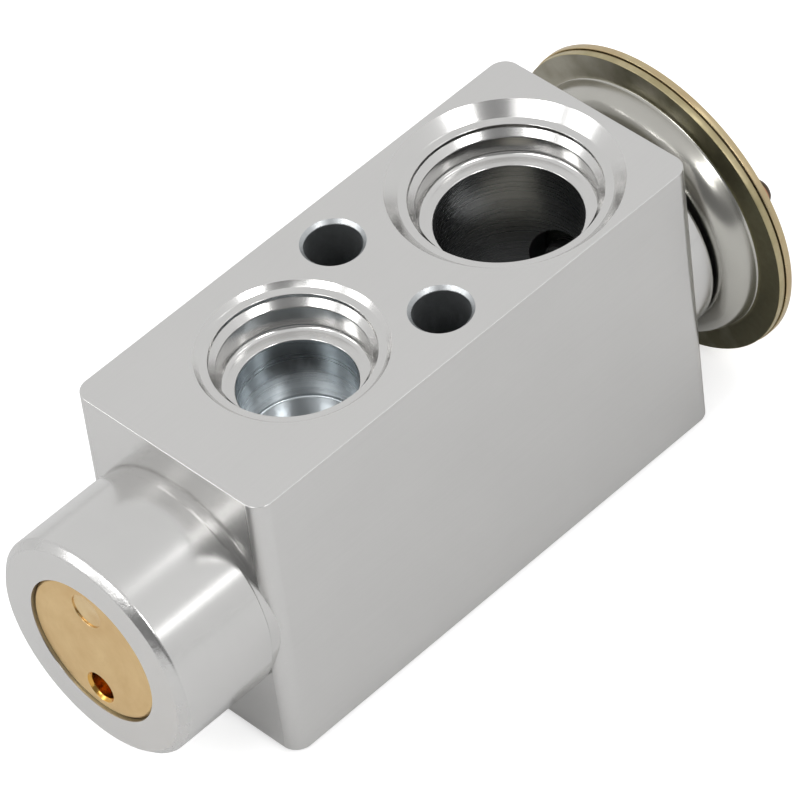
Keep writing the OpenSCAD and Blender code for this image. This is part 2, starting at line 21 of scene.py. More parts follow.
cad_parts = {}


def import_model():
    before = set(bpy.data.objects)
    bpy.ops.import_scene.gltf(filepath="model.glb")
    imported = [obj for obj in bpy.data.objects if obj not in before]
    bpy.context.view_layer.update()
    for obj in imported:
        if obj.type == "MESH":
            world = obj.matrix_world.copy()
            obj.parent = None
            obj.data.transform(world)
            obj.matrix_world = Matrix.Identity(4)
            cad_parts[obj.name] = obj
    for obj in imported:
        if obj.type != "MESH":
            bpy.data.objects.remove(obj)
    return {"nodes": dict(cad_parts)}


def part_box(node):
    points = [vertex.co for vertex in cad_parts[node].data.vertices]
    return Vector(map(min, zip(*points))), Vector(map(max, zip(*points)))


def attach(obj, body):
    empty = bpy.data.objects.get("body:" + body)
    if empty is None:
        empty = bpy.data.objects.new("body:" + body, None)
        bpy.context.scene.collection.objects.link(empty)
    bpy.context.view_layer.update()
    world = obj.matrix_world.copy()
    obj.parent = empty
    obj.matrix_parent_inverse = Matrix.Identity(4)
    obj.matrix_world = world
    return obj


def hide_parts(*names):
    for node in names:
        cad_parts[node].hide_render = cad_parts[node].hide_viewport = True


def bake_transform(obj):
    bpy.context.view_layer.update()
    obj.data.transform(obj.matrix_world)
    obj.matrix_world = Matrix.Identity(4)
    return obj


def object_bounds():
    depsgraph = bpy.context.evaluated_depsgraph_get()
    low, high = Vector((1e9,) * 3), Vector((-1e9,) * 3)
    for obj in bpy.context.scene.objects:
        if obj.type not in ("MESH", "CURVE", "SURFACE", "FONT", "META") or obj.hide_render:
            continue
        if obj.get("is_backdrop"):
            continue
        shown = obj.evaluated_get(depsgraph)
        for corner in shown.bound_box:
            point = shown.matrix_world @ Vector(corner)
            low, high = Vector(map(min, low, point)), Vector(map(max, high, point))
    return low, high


LOG = logging.getLogger("expansion_valve")
MM = 0.001
TAU = 2.0 * math.pi
# Points of an outline nearer than this are one, in millimetres
SAME = 1e-6
# Vertices nearer than this are merged, in metres
MERGE = 1e-7
# How far past a border a face's middle still counts as on it, in millimetres
NEAR = 0.02
# How far a cutter reaches out of the face that it opens, in millimetres
OVER = 1.0

ALONG_X = (1.0, 0.0, 0.0)
ALONG_Y = (0.0, 1.0, 0.0)
UP = (0.0, 0.0, 1.0)
DOWN = (0.0, 0.0, -1.0)

Corner = tuple[float, float, float]
Colour = tuple[float, float, float]
Rule = Callable[[np.ndarray], np.ndarray]

ALUMINIUM: Colour = (0.69, 0.685, 0.675)
# Aluminium painted darker as shade, inside the bores, the suction passage and the passages' floors
BORE_PAINTED_SHADE: Colour = (0.47, 0.48, 0.485)
# Aluminium painted lighter and bluish as light, inside the liquid passages
BORE_PAINTED_LIGHT: Colour = (0.76, 0.81, 0.84)
PASSAGE_GREY: Colour = (0.58, 0.6, 0.61)
BRASS: Colour = (0.78, 0.56, 0.27)
YELLOW_ZINC: Colour = (0.64, 0.55, 0.34)
# Olive zinc darkened as painted shade, for the flange's underside
OLIVE_ZINC_PAINTED_SHADE: Colour = (0.14, 0.13, 0.075)
CUP_GREY: Colour = (0.54, 0.53, 0.49)
COPPER: Colour = (0.55, 0.26, 0.15)
STEEL: Colour = (0.6, 0.6, 0.6)
SPRING_STEEL: Colour = (0.42, 0.42, 0.43)


class Cut(Enum):
    """How a second mesh changes the first one."""

    ADD = "UNION"
    REMOVE = "DIFFERENCE"


class Grain(Enum):
    """How the marks of a tool lie on a surface."""

    BRUSHED = "straight lines"
    TURNED = "rings round an axis"
    EVEN = "no direction"


@dataclass(frozen=True)
class Axis:
    """The axis of a turned form.

    Attributes:
        origin: A point on the axis, in millimetres.
        along: Unit vector along it.
        side: Unit vector square to it, where angles start.
    """

    origin: tuple[float, float, float]
    along: tuple[float, float, float]
    side: tuple[float, float, float]

    def points(self, radius: np.ndarray, place: np.ndarray, angle: np.ndarray) -> np.ndarray:
        """Point = origin + place * along + radius * (cos(angle) * side + sin(angle) * (along x side)).

        Args:
            radius: Distances from the axis, in millimetres.
            place: Distances along the axis from its origin, in millimetres.
            angle: Angles round the axis, in radians.

        Returns:
            Array of points in metres, with one more dimension than the arguments.
        """
        along, side = np.array(self.along), np.array(self.side)
        across = np.cross(along, side)
        spoke = np.cos(angle)[..., None] * side + np.sin(angle)[..., None] * across
        return (np.array(self.origin) + place[..., None] * along + radius[..., None] * spoke) * MM


def eased(corners: list[Corner], steps: int = 6) -> np.ndarray:
    """Outline through corners, each but the first and the last rounded.

    Near a corner C with rounding d the outline leaves the straight line at A, which is d towards the
    corner before, and meets it again at B, d towards the next one. Between them it follows
    (1-t)^2 A + 2t(1-t) C + t^2 B.

    Args:
        corners: Radius, place along the axis and rounding of each corner, in millimetres.
        steps: Number of straight pieces in a rounding.

    Returns:
        Array of radius and place for each point of the outline.
    """
    table = np.array(corners, float)
    at, rounding = table[:, :2], table[:, 2:].copy()
    before, after = np.roll(at, 1, 0) - at, np.roll(at, -1, 0) - at
    rounding[[0, -1]] = 0.0
    start = at + rounding * before / np.linalg.norm(before, axis=1, keepdims=True)
    end = at + rounding * after / np.linalg.norm(after, axis=1, keepdims=True)
    t = np.linspace(0.0, 1.0, steps + 1)[None, :, None]
    curve = (1 - t) ** 2 * start[:, None] + 2 * t * (1 - t) * at[:, None] + t**2 * end[:, None]
    path = curve.reshape(-1, 2)
    keep = np.linalg.norm(np.diff(path, axis=0, prepend=path[:1] + 1.0), axis=1) > SAME
    return path[keep]


def sheet_outline(middle: np.ndarray, thickness: float, edge: float) -> np.ndarray:
    """Closed outline of a pressed sheet: its middle line moved half the thickness to each side.

    Beyond the last point the outer edge is closed by two quarter circles, from angle 0 to a half turn:
    run * edge * sin(angle) + normal * ((thickness / 2 - edge) * sign(cos(angle)) + edge * cos(angle)).

    Args:
        middle: Radius and place of the middle line's points.
        thickness: Thickness of the sheet, in millimetres.
        edge: Rounding of its outer edge, in millimetres.

    Returns:
        Points of the closed outline.
    """
    run = np.gradient(middle, axis=0)
    run /= np.linalg.norm(run, axis=1, keepdims=True)
    normal = np.stack([-run[:, 1], run[:, 0]], 1)
    steps = 10
    angle = np.linspace(0.0, math.pi, steps)[:, None]
    flat = (thickness / 2 - edge) * np.sign(np.cos(angle))
    tip = middle[-1] + run[-1] * edge * np.sin(angle) + normal[-1] * (flat + edge * np.cos(angle))
    near, far = middle + normal * thickness / 2, middle - normal * thickness / 2
    return np.concatenate([near[:-1], tip, far[-2::-1]])


def grid_mesh(
    name: str, points: np.ndarray, close_rows: bool = False, caps: bool = False
) -> bpy.types.Object:
    """Makes an object from a grid of points whose columns close on themselves.

    Args:
        name: Name of the object and its mesh.
        points: Rows x columns x 3, in metres.
        close_rows: Whether the last row is joined to the first.
        caps: Whether the first and the last row are closed by one face each.

    Returns:
        The new object, at the origin, with its faces pointing outwards.
    """
    rows, columns = points.shape[:2]
    i = np.arange(rows if close_rows else rows - 1)[:, None]
    j = np.arange(columns)[None, :]
    here, there = i * columns, ((i + 1) % rows) * columns
    right = (j + 1) % columns
    quads = np.stack([here + j, here + right, there + right, there + j], -1).reshape(-1, 4).tolist()
    if caps:
        quads.append(list(range(columns))[::-1])
        quads.append(list(range((rows - 1) * columns, rows * columns)))
    mesh = bpy.data.meshes.new(name)
    mesh.from_pydata(points.reshape(-1, 3).tolist(), [], quads)
    work = bmesh.new()
    work.from_mesh(mesh)
    bmesh.ops.remove_doubles(work, verts=work.verts, dist=MERGE)
    bmesh.ops.recalc_face_normals(work, faces=work.faces)
    work.to_mesh(mesh)
    work.free()
    made = bpy.data.objects.new(name, mesh)
    bpy.context.scene.collection.objects.link(made)
    return made


@dataclass(frozen=True)
class Thread:
    """A screw thread cut into the round part of a turned form.

    Attributes:
        r: Outside radius of the thread; the outline runs along it.
        start: Place where it starts.
        end: Place where it ends.
        depth: Depth of the thread.
        pitch: Distance from crest to crest.
        fade: Length over which the thread runs out at each end.
        fineness: Points of the outline for each turn.
    """

    r: float
    start: float
    end: float
    depth: float = 0.45
    pitch: float = 1.0
    fade: float = 0.8
    fineness: int = 10

    def corners(self) -> list[Corner]:
        """Close points along the thread, for the outline."""
        steps = round((self.end - self.start) / self.pitch * self.fineness)
        return [(self.r, float(place), 0.0) for place in np.linspace(self.start, self.end, steps)]

    def cut(self, radius: np.ndarray, place: np.ndarray, angle: np.ndarray) -> np.ndarray:
        """Radius less depth * (1 - cos(2 pi * place / pitch - angle)) / 2, faded out at both ends.

        Args:
            radius: Distances from the axis, in millimetres.
            place: Distances along the axis, in millimetres.
            angle: Angles round the axis, in radians.

        Returns:
            Distances from the axis with the thread in them; only the points on its outside radius change.
        """
        wave = 0.5 - 0.5 * np.cos(TAU * place / self.pitch - angle)
        inside = np.clip(np.minimum(place - self.start, self.end - place) / self.fade, 0.0, 1.0)
        return radius - self.depth * wave * inside * (np.abs(radius - self.r) < SAME)


def turned(
    name: str, outline: np.ndarray, axis: Axis, sides: int = 192, thread: Thread | None = None
) -> bpy.types.Object:
    """Turns a closed outline round an axis: point (u, v) is outline point u carried round by angle v.

    Args:
        name: Name of the object.
        outline: Closed outline of radius and place, in millimetres.
        axis: Axis of the turned form.
        sides: Number of steps round the axis.
        thread: A thread to cut into it.

    Returns:
        The new object.
    """
    around = np.linspace(0.0, TAU, sides, endpoint=False)
    radius, angle = np.broadcast_arrays(outline[:, :1], around[None, :])
    place = np.broadcast_to(outline[:, 1:], radius.shape)
    if thread is not None:
        radius = thread.cut(radius, place, angle)
    return grid_mesh(name, axis.points(radius, place, angle), close_rows=True)


def combine(base: bpy.types.Object, tool: bpy.types.Object, cut: Cut) -> None:
    """Adds a mesh to another or removes it, keeps both sets of materials and deletes the tool.

    Args:
        base: The object that changes.
        tool: The object that is added or removed.
        cut: Which of the two.
    """
    change = base.modifiers.new(cut.name, "BOOLEAN")
    change.operation = cut.value
    change.solver = "MANIFOLD"
    change.material_mode = "TRANSFER"
    change.object = tool
    settle(base)
    old = tool.data
    bpy.data.objects.remove(tool)
    bpy.data.meshes.remove(old)


def settle(thing: bpy.types.Object) -> None:
    """Applies an object's modifiers to its mesh.

    Args:
        thing: The object.
    """
    bpy.context.view_layer.update()
    graph = bpy.context.evaluated_depsgraph_get()
    made = bpy.data.meshes.new_from_object(thing.evaluated_get(graph), depsgraph=graph)
    old = thing.data
    thing.modifiers.clear()
    thing.data = made
    made.name = thing.name
    bpy.data.meshes.remove(old)


def smooth(thing: bpy.types.Object) -> None:
    """Shades an object smoothly, with sharp edges where its faces meet at more than an angle.

    Args:
        thing: The object.
    """
    sharp = math.radians(28.0)
    mesh = thing.data
    mesh.polygons.foreach_set("use_smooth", np.ones(len(mesh.polygons), bool))
    mesh.set_sharp_from_angle(angle=sharp)
    weigh = thing.modifiers.new("Face weights", "WEIGHTED_NORMAL")
    weigh.keep_sharp = True
    weigh.weight = 80
    settle(thing)


def paint(thing: bpy.types.Object, rule: Rule) -> None:
    """Gives faces the material whose number a rule works out from where they are.

    Args:
        thing: The object.
        rule: Takes the faces' middles in millimetres, one row each, and returns a number for each face.
    """
    faces = thing.data.polygons
    middle = np.empty(len(faces) * 3)
    faces.foreach_get("center", middle)
    faces.foreach_set("material_index", np.asarray(rule(middle.reshape(-1, 3) / MM), np.int32))


class Graph:
    """Builds the node tree of one material or world."""

    def __init__(self, owner: bpy.types.Material | bpy.types.World) -> None:
        """Empties the owner's tree.

        Args:
            owner: The material or world.
        """
        owner.use_nodes = True
        self.nodes = owner.node_tree.nodes
        self.links = owner.node_tree.links
        self.nodes.clear()

    def add(
        self, kind: str, inputs: dict[str | int, object] | None = None, **settings: object
    ) -> bpy.types.Node:
        """Adds a node.

        Args:
            kind: Blender's name of the node's type, without "ShaderNode".
            inputs: Value, or socket to link from, for each input.
            **settings: Properties of the node.

        Returns:
            The node.
        """
        node = self.nodes.new("ShaderNode" + kind)
        for name, value in settings.items():
            setattr(node, name, value)
        for name, value in (inputs or {}).items():
            if isinstance(value, bpy.types.NodeSocket):
                self.links.new(value, node.inputs[name])
            else:
                node.inputs[name].default_value = value
        return node

    def math(self, operation: str, *values: object) -> bpy.types.NodeSocket:
        """Adds a Math node and returns its output."""
        return self.add("Math", dict(enumerate(values)), operation=operation).outputs[0]

    def along(self, vector: bpy.types.NodeSocket, direction: tuple[float, ...]) -> bpy.types.NodeSocket:
        """Adds the dot product of a vector and a direction and returns the output."""
        node = self.add("VectorMath", {0: vector, 1: direction}, operation="DOT_PRODUCT")
        return node.outputs["Value"]

    def spread(self, value: bpy.types.NodeSocket, low: float, high: float) -> bpy.types.NodeSocket:
        """Maps a value from 0..1 to low..high and returns the output."""
        sockets = {"Value": value, "To Min": low, "To Max": high}
        return self.add("MapRange", sockets).outputs["Result"]

    def mix(self, share: object, first: object, second: object) -> bpy.types.NodeSocket:
        """Mixes two colours, inputs 6 and 7 of the node, by a share and returns the output."""
        node = self.add("Mix", {0: share, 6: first, 7: second}, data_type="RGBA")
        return node.outputs[2]


@dataclass(frozen=True)
class Finish:
    """A metal, rubber or plastic surface with the marks of its making.

    Attributes:
        name: Name of the material.
        colour: Its colour, linear.
        metal: 1 for a metal, 0 for anything else.
        roughness: Roughness between the marks.
        grain: How the marks lie.
        fine: Marks per millimetre across their run.
        run: Marks per millimetre along their run.
        depth: Height of the marks, in millimetres.
        uneven: How much roughness changes with the marks.
        shade: How much the colour darkens in the marks.
        cloud: Strength of broad soft clouds of another colour.
        patch: Clouds per millimetre.
        axis: Axis of turned marks.
        lines: Direction of brushed lines.
        stain: Colour of the clouds, or nothing for a darker tone of the same colour.
        lean: Where the clouds gather: the share they gain per millimetre in each direction.
    """

    name: str
    colour: Colour
    metal: float = 1.0
    roughness: float = 0.3
    grain: Grain = Grain.EVEN
    fine: float = 6.0
    run: float = 0.1
    depth: float = 0.002
    uneven: float = 0.1
    shade: float = 0.05
    cloud: float = 0.05
    patch: float = 0.12
    axis: Axis | None = None
    lines: tuple[float, float, float] = ALONG_X
    stain: Colour | None = None
    lean: tuple[float, float, float] | None = None

    def place(self, graph: Graph) -> bpy.types.NodeSocket:
        """Coordinates in which the marks are a plain noise.

        Brushed: distances in millimetres, slow along the lines and quick across them. Turned: distance
        from the axis and place along it, so that a mark goes all the way round. Even: the same all ways.

        Args:
            graph: Tree of the material.

        Returns:
            Vector output.
        """
        here = graph.add("TexCoord").outputs["Object"]
        if self.grain is Grain.TURNED and self.axis is not None:
            origin = Vector(self.axis.origin) * MM
            spot = graph.add("VectorMath", {0: here, 1: origin}, operation="SUBTRACT")
            whole = graph.add("VectorMath", {0: spot.outputs[0]}, operation="LENGTH")
            depth = graph.along(spot.outputs[0], self.axis.along)
            square = graph.math("POWER", whole.outputs["Value"], 2.0)
            rest = graph.math("SUBTRACT", square, graph.math("MULTIPLY", depth, depth))
            radius = graph.math("SQRT", graph.math("MAXIMUM", rest, 0.0))
            both = graph.add("CombineXYZ", {"X": radius, "Y": depth}).outputs[0]
            scale = (self.fine / MM,) * 3
        else:
            both = here
            across = self.fine / MM
            slow = self.run / MM if self.grain is Grain.BRUSHED else across
            scale = tuple(slow if line else across for line in self.lines)
        return graph.add("VectorMath", {0: both, 1: scale}, operation="MULTIPLY").outputs[0]

    def make(self) -> bpy.types.Material:
        """Makes the material, or returns the one made before.

        Returns:
            The material.
        """
        known = bpy.data.materials.get(self.name)
        if known is not None:
            return known
        material = bpy.data.materials.new(self.name)
        graph = Graph(material)
        here = graph.add("TexCoord").outputs["Object"]
        fine = {"Vector": self.place(graph), "Scale": 1.0, "Detail": 4.0, "Roughness": 0.6}
        marks = graph.add("TexNoise", fine)
        soft = {"Vector": here, "Scale": self.patch / MM, "Detail": 3.0, "Roughness": 0.55}
        mark, patch = marks.outputs["Fac"], graph.add("TexNoise", soft).outputs["Fac"]
        # The marks' noise is about a half on average, so it carries twice the shade
        dark = tuple(c * (1.0 - self.shade * 2.0) for c in self.colour) + (1.0,)
        colour = graph.mix(graph.spread(mark, 0.0, 1.0), self.colour + (1.0,), dark)
        if self.cloud:
            tone, contrast = 0.75, 0.6
            far = self.stain or tuple(c * tone for c in self.colour)
            if self.lean:
                patch = graph.math("ADD", patch, graph.along(here, tuple(c / MM for c in self.lean)))
            spread = graph.spread(patch, -contrast, 1.0 + contrast)
            share = graph.math("MULTIPLY", spread, self.cloud)
            clamped = graph.add("Clamp", {"Value": share}).outputs[0]
            colour = graph.mix(clamped, colour, far + (1.0,))
        smoothest = 0.02
        low, high = max(self.roughness - self.uneven, smoothest), self.roughness + self.uneven
        bump = graph.add("Bump", {"Height": mark, "Distance": self.depth * MM, "Strength": 1.0})
        shader = graph.add(
            "BsdfPrincipled",
            {
                "Base Color": colour,
                "Metallic": self.metal,
                "Roughness": graph.spread(mark, low, high),
                "Normal": bump.outputs["Normal"],
            },
        )
        graph.add("OutputMaterial", {"Surface": shader.outputs["BSDF"]})
        return material


def dress(thing: bpy.types.Object, *finishes: Finish) -> bpy.types.Object:
    """Gives an object the materials of some finishes, in that order.

    Args:
        thing: The object.
        *finishes: The finishes.

    Returns:
        The same object.
    """
    thing.data.materials.clear()
    for finish in finishes:
        thing.data.materials.append(finish.make())
    return thing


@dataclass
class Layout:
    """Places along the valve's axis and heights, in millimetres, read from the frame.

    Attributes:
        tip: Front of the nose.
        boss_end: End of the boss.
        half_width: Half the block's width.
        top: Height of the port face.
    """

    tip: float
    boss_end: float
    half_width: float
    top: float

    @classmethod
    def read(cls) -> Layout:
        """Reads the places from the block's box."""
        low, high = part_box("valve_body")
        return cls(low.x / MM, high.x / MM, high.y / MM, high.z / MM)

    @property
    def height(self) -> float:
        """Height of the valve's axis."""
        return self.top / 2

    def valve_axis(self) -> Axis:
        """The axis of nose, valve and power head; places on it are X."""
        return Axis((0.0, 0.0, self.height), ALONG_X, ALONG_Y)

    def front(self, x: float, y: float = 0.0) -> Axis:
        """The axis of a hole in the port face; places on it are depths."""
        return Axis((x, y, self.top), DOWN, ALONG_X)

    def back(self, x: float, y: float = 0.0) -> Axis:
        """The axis of a hole in the back face; places on it are depths."""
        return Axis((x, y, 0.0), UP, ALONG_X)


@dataclass(frozen=True)
class Port:
    """A pipe port: cone at the face, floor, step, lead-in cone, seal bore with a round root, passage.

    Attributes:
        x: Place of its axis.
        rim_r: Radius of the cone at the face.
        rim_depth: Depth of the cone, and how far it narrows.
        seal_r: Radius of the seal bore.
        seal_depth: Depth at which the root of the seal bore starts.
        bore_r: Radius of the passage.
        lead_in: Height and width of the lead-in cone.
        step: Height of the step above that cone.
        root: Height of the seal bore's root.
        slope: Half the height of the root's sloping floor.
    """

    x: float
    rim_r: float
    rim_depth: float
    seal_r: float
    seal_depth: float
    bore_r: float
    lead_in: float = 0.75
    step: float = 0.45
    root: float = 0.4
    slope: float = 0.12

    def corners(self) -> list[Corner]:
        """Section of the port, from its face down to the passage.

        Returns:
            Corners as for eased().
        """
        lead_r = self.seal_r + self.lead_in
        lead = self.rim_depth + self.step
        floor = self.seal_depth + self.root
        return [
            (0.0, -OVER, 0.0),
            (self.rim_r + OVER, -OVER, 0.0),
            (self.rim_r, 0.0, 0.12),
            (self.rim_r - self.rim_depth, self.rim_depth, 0.1),
            (lead_r, self.rim_depth, 0.14),
            (lead_r, lead, 0.08),
            (self.seal_r, lead + self.lead_in, 0.12),
            (self.seal_r, floor - self.slope, 0.62),
            (self.bore_r, floor + self.slope, 0.16),
        ]

    def zones(self, layout: Layout, floor: float) -> Rule:
        """Rule for paint(): 0 for the port, 1 for the passage below it and 2 for the passage's floor.

        Args:
            layout: Places in the frame.
            floor: Depth of the passage's floor.

        Returns:
            The rule.
        """

        def chosen(middle: np.ndarray) -> np.ndarray:
            """Numbers faces by their depth and their distance from the port's axis.

            Args:
                middle: The faces' middles, in millimetres.

            Returns:
                A number for each face.
            """
            depth = np.minimum(layout.top - middle[:, 2], middle[:, 2])
            inside = np.hypot(middle[:, 0] - self.x, middle[:, 1]) < self.bore_r + NEAR
            below = inside & (depth > self.seal_depth + self.root)
            return below.astype(int) + (below & (depth > floor - NEAR))

        return chosen


@dataclass
class ValveBlock:
    """The machined block with its nose and boss.

    Attributes:
        layout: Places in the frame.
        nose_length: Length of the nose.
        nose_r: Radius of the nose.
        nose_chamfer: Chamfer of its front.
        relief: Depth of the relief at its root.
        relief_length: Length of the relief.
        boss_length: Length of the boss.
        boss_r: Radius of the boss.
        corner_r: Radius of the block's upright edges.
        corner_steps: Points round the block.
        edge_r: Rounding along the port face and the back face.
        edge_steps: Points in that rounding.
        bolt_r: Radius of the bolt holes.
        bolt_y: Distance of the bolt holes from the middle.
        hole_chamfer: Their chamfer.
        stud_r: Core radius of the tapped hole.
        stud_thread: Depth of its thread.
        stud_depth: Depth of the tapped hole.
        outlet_r: Radius of the drilling from the outlet port to the valve.
        web: Wall between the liquid passages and the bore of the orifice ring.
        ring_r: Radius of the bore of the orifice ring.
        screw_r: Radius of the screw's bore.
        shoulder: Its end, from the nose's front.
        chamber_r: Radius of the spring's chamber.
        chamber_end: Its end, from the nose's front.
        ring_end: End of the orifice ring's bore, from the nose's front.
        outlet_bore_r: Radius of the bore that the outlet's drilling meets.
        outlet_end: Its end, from the nose's front.
        pin_r: Radius of the pin's hole.
        guide_r: Radius of the sensing rod's guide.
        guide_depth: How far the guide reaches into the wall of the suction passage.
        gland_r: Radius of the rod's gland.
        gland_depth: How far the gland reaches into that wall.
        head_r: Radius of the opening towards the power head.
        head_wall: Length of that opening beyond the suction passage.
        neck_r: Radius of the bore that takes the power head's neck.
        mouth_r: Radius of the recess for its sealing ring.
        mouth_depth: Depth of that recess.
        suction: The ports of the suction passage.
        outlet: The liquid port in the port face.
        inlet: The liquid port in the back face.
    """

    layout: Layout
    nose_length: float = 13.45
    nose_r: float = 13.3
    nose_chamfer: float = 0.8
    relief: float = 0.25
    relief_length: float = 0.6
    boss_length: float = 2.4
    boss_r: float = 13.0
    corner_r: float = 2.0
    corner_steps: int = 48
    edge_r: float = 0.1
    edge_steps: int = 7
    bolt_r: float = 3.1
    bolt_y: float = 7.8
    hole_chamfer: float = 0.42
    stud_r: float = 2.5
    stud_thread: float = 0.45
    stud_depth: float = 11.0
    outlet_r: float = 3.2
    web: float = 0.9
    ring_r: float = 4.2
    screw_r: float = 8.77
    shoulder: float = 10.2
    chamber_r: float = 7.59
    chamber_end: float = 22.4
    ring_end: float = 26.4
    outlet_bore_r: float = 3.3
    outlet_end: float = 36.6
    pin_r: float = 1.25
    guide_r: float = 3.05
    guide_depth: float = 11.4
    gland_r: float = 4.84
    gland_depth: float = 3.8
    head_r: float = 4.7
    head_wall: float = 1.0
    neck_r: float = 9.02
    mouth_r: float = 11.04
    mouth_depth: float = 1.54
    suction: Port = Port(x=17.6, rim_r=12.7, rim_depth=1.45, seal_r=9.6, seal_depth=4.7, bore_r=8.0)
    outlet: Port = Port(x=-13.8, rim_r=10.2, rim_depth=0.6, seal_r=8.0, seal_depth=4.4, bore_r=6.4)
    inlet: Port = replace(outlet, x=-20.3)

    @property
    def end(self) -> float:
        """Nose end of the block."""
        return self.layout.tip + self.nose_length

    @property
    def far(self) -> float:
        """Power head end of the block."""
        return self.layout.boss_end - self.boss_length

    @property
    def liquid_floor(self) -> float:
        """Depth of the liquid passages."""
        return self.layout.height - self.ring_r - self.web

    def bar(self) -> bpy.types.Object:
        """The block: a rectangle with round corners (angle v) at heights u, smaller near both faces.

        Point = (sign(cos(v)) * (a - r) + (r - inset(u)) * cos(v), the same with sin(v) and b, height(u)),
        with half sizes a and b and corner radius r. Near a face, inset and height follow a quarter circle.

        Returns:
            The new object.
        """
        half = np.array([(self.far - self.end) / 2, self.layout.half_width])
        step = TAU / self.corner_steps
        turn = np.linspace(0.0, TAU, self.corner_steps, endpoint=False) + step / 2
        corner = np.stack([np.cos(turn), np.sin(turn)], 1)
        quarter = np.linspace(0.0, math.pi / 2, self.edge_steps)
        inset = np.concatenate([1 - np.sin(quarter), (1 - np.sin(quarter))[::-1]]) * self.edge_r
        rise = (1 - np.cos(quarter)) * self.edge_r
        level = np.concatenate([rise, self.layout.top - rise[::-1]])
        radius = (self.corner_r - inset)[:, None, None]
        flat = np.sign(corner) * (half - self.corner_r) + radius * corner
        points = np.concatenate([flat, np.broadcast_to(level[:, None, None], flat.shape[:2] + (1,))], 2)
        points[..., 0] += (self.far + self.end) / 2
        return grid_mesh("valve_block", points * MM, caps=True)

    def nose(self) -> bpy.types.Object:
        """The nose, turned, with its chamfer and the relief at its root.

        Returns:
            The new object.
        """
        tip, end, r = self.layout.tip, self.end, self.nose_r
        corners = [
            (0.0, tip, 0.0),
            (r - self.nose_chamfer, tip, 0.16),
            (r, tip + self.nose_chamfer, 0.24),
            (r, end - self.relief_length - 0.15, 0.08),
            (r - self.relief, end - self.relief_length, 0.08),
            (r - self.relief, end + self.corner_r, 0.0),
            (0.0, end + self.corner_r, 0.0),
        ]
        return turned("nose", eased(corners), self.layout.valve_axis(), sides=256)

    def boss(self) -> bpy.types.Object:
        """The boss that carries the power head, turned.

        Returns:
            The new object.
        """
        out = self.layout.boss_end
        corners = [
            (0.0, self.far - self.corner_r, 0.0),
            (self.boss_r, self.far - self.corner_r, 0.0),
            (self.boss_r, out, 0.4),
            (0.0, out, 0.0),
        ]
        return turned("boss", eased(corners), self.layout.valve_axis(), sides=256)

    def through_hole(self, y: float) -> bpy.types.Object:
        """Cutter of a bolt hole, chamfered at both faces.

        Args:
            y: Place of its axis across the block.

        Returns:
            The cutter.
        """
        r, c = self.bolt_r, self.hole_chamfer
        half = [(0.0, -OVER, 0.0), (r + c + OVER, -OVER, 0.0), (r + c, 0.0, 0.08), (r, c, 0.1)]
        return turned("bolt_hole", eased(self.both_faces(half)), self.layout.front(0.0, y), sides=96)

    def both_faces(self, half: list[Corner]) -> list[Corner]:
        """Corners of a hole right through the block, from those of its half at one face."""
        return half + [(radius, self.layout.top - depth, ease) for radius, depth, ease in half[::-1]]

    def suction_passage(self) -> bpy.types.Object:
        """Cutter of the suction passage, with a port at each face."""
        corners = self.both_faces(self.suction.corners())
        return turned("suction", eased(corners), self.layout.front(self.suction.x))

    def liquid_port(self, port: Port, axis: Axis, drill: float) -> bpy.types.Object:
        """Cutter of a blind port, with a drilling to the valve's axis where it has one.

        Args:
            port: Its sizes.
            axis: Its axis, from the face inwards.
            drill: Radius of the drilling, or 0.

        Returns:
            The cutter.
        """
        floor, height = self.liquid_floor, self.layout.height
        corners = port.corners() + [(port.bore_r, floor, 0.3)]
        if drill:
            corners += [(drill, floor, 0.0), (drill, height, 0.0), (0.0, height, 0.0)]
        else:
            corners.append((0.0, floor, 0.0))
        return turned("liquid", eased(corners), axis)

    def valve_bore(self) -> bpy.types.Object:
        """Turns one cutter of all bores on the valve's axis, from the nose to the boss.

        Returns:
            The cutter.
        """
        tip, out, middle = self.layout.tip, self.layout.boss_end, self.suction.x
        wall = middle - self.suction.bore_r
        steps = [
            (self.screw_r, tip + self.shoulder),
            (self.chamber_r, tip + self.chamber_end),
            (self.ring_r, tip + self.ring_end),
            (self.outlet_bore_r, tip + self.outlet_end),
            (self.pin_r, wall - self.guide_depth),
            (self.guide_r, wall - self.gland_depth),
            (self.gland_r, middle),
            (self.head_r, middle + self.suction.bore_r + self.head_wall),
            (self.neck_r, out - self.mouth_depth),
            (self.mouth_r, out + OVER),
        ]
        corners = [(0.0, tip - OVER, 0.0), (self.screw_r + OVER, tip - OVER, 0.0)]
        start, ease = tip, 0.1
        for radius, end in steps:
            corners += [(radius, start, ease), (radius, end, 0.0)]
            start, ease = end, 0.0
        corners.append((0.0, start, 0.0))
        return turned("valve_bore", eased(corners), self.layout.valve_axis(), sides=160)

    def stud_hole(self) -> bpy.types.Object:
        """Cutter of the tapped hole, countersunk at the back face and drilled to a point.

        Returns:
            The cutter.
        """
        crest, sink = self.stud_r + self.stud_thread, 0.3
        point = self.stud_depth + 1.0
        thread = Thread(crest, 0.4, self.stud_depth - 1.2, depth=self.stud_thread, fade=0.3)
        corners = [(0.0, -OVER, 0.0), (crest + sink + OVER, -OVER, 0.0), (crest, sink, 0.0)]
        corners += thread.corners()
        corners += [(self.stud_r, self.stud_depth - 1.0, 0.0), (self.stud_r, self.stud_depth, 0.0)]
        corners.append((0.0, point, 0.0))
        return turned("stud_hole", eased(corners), self.layout.back(0.0), sides=64, thread=thread)

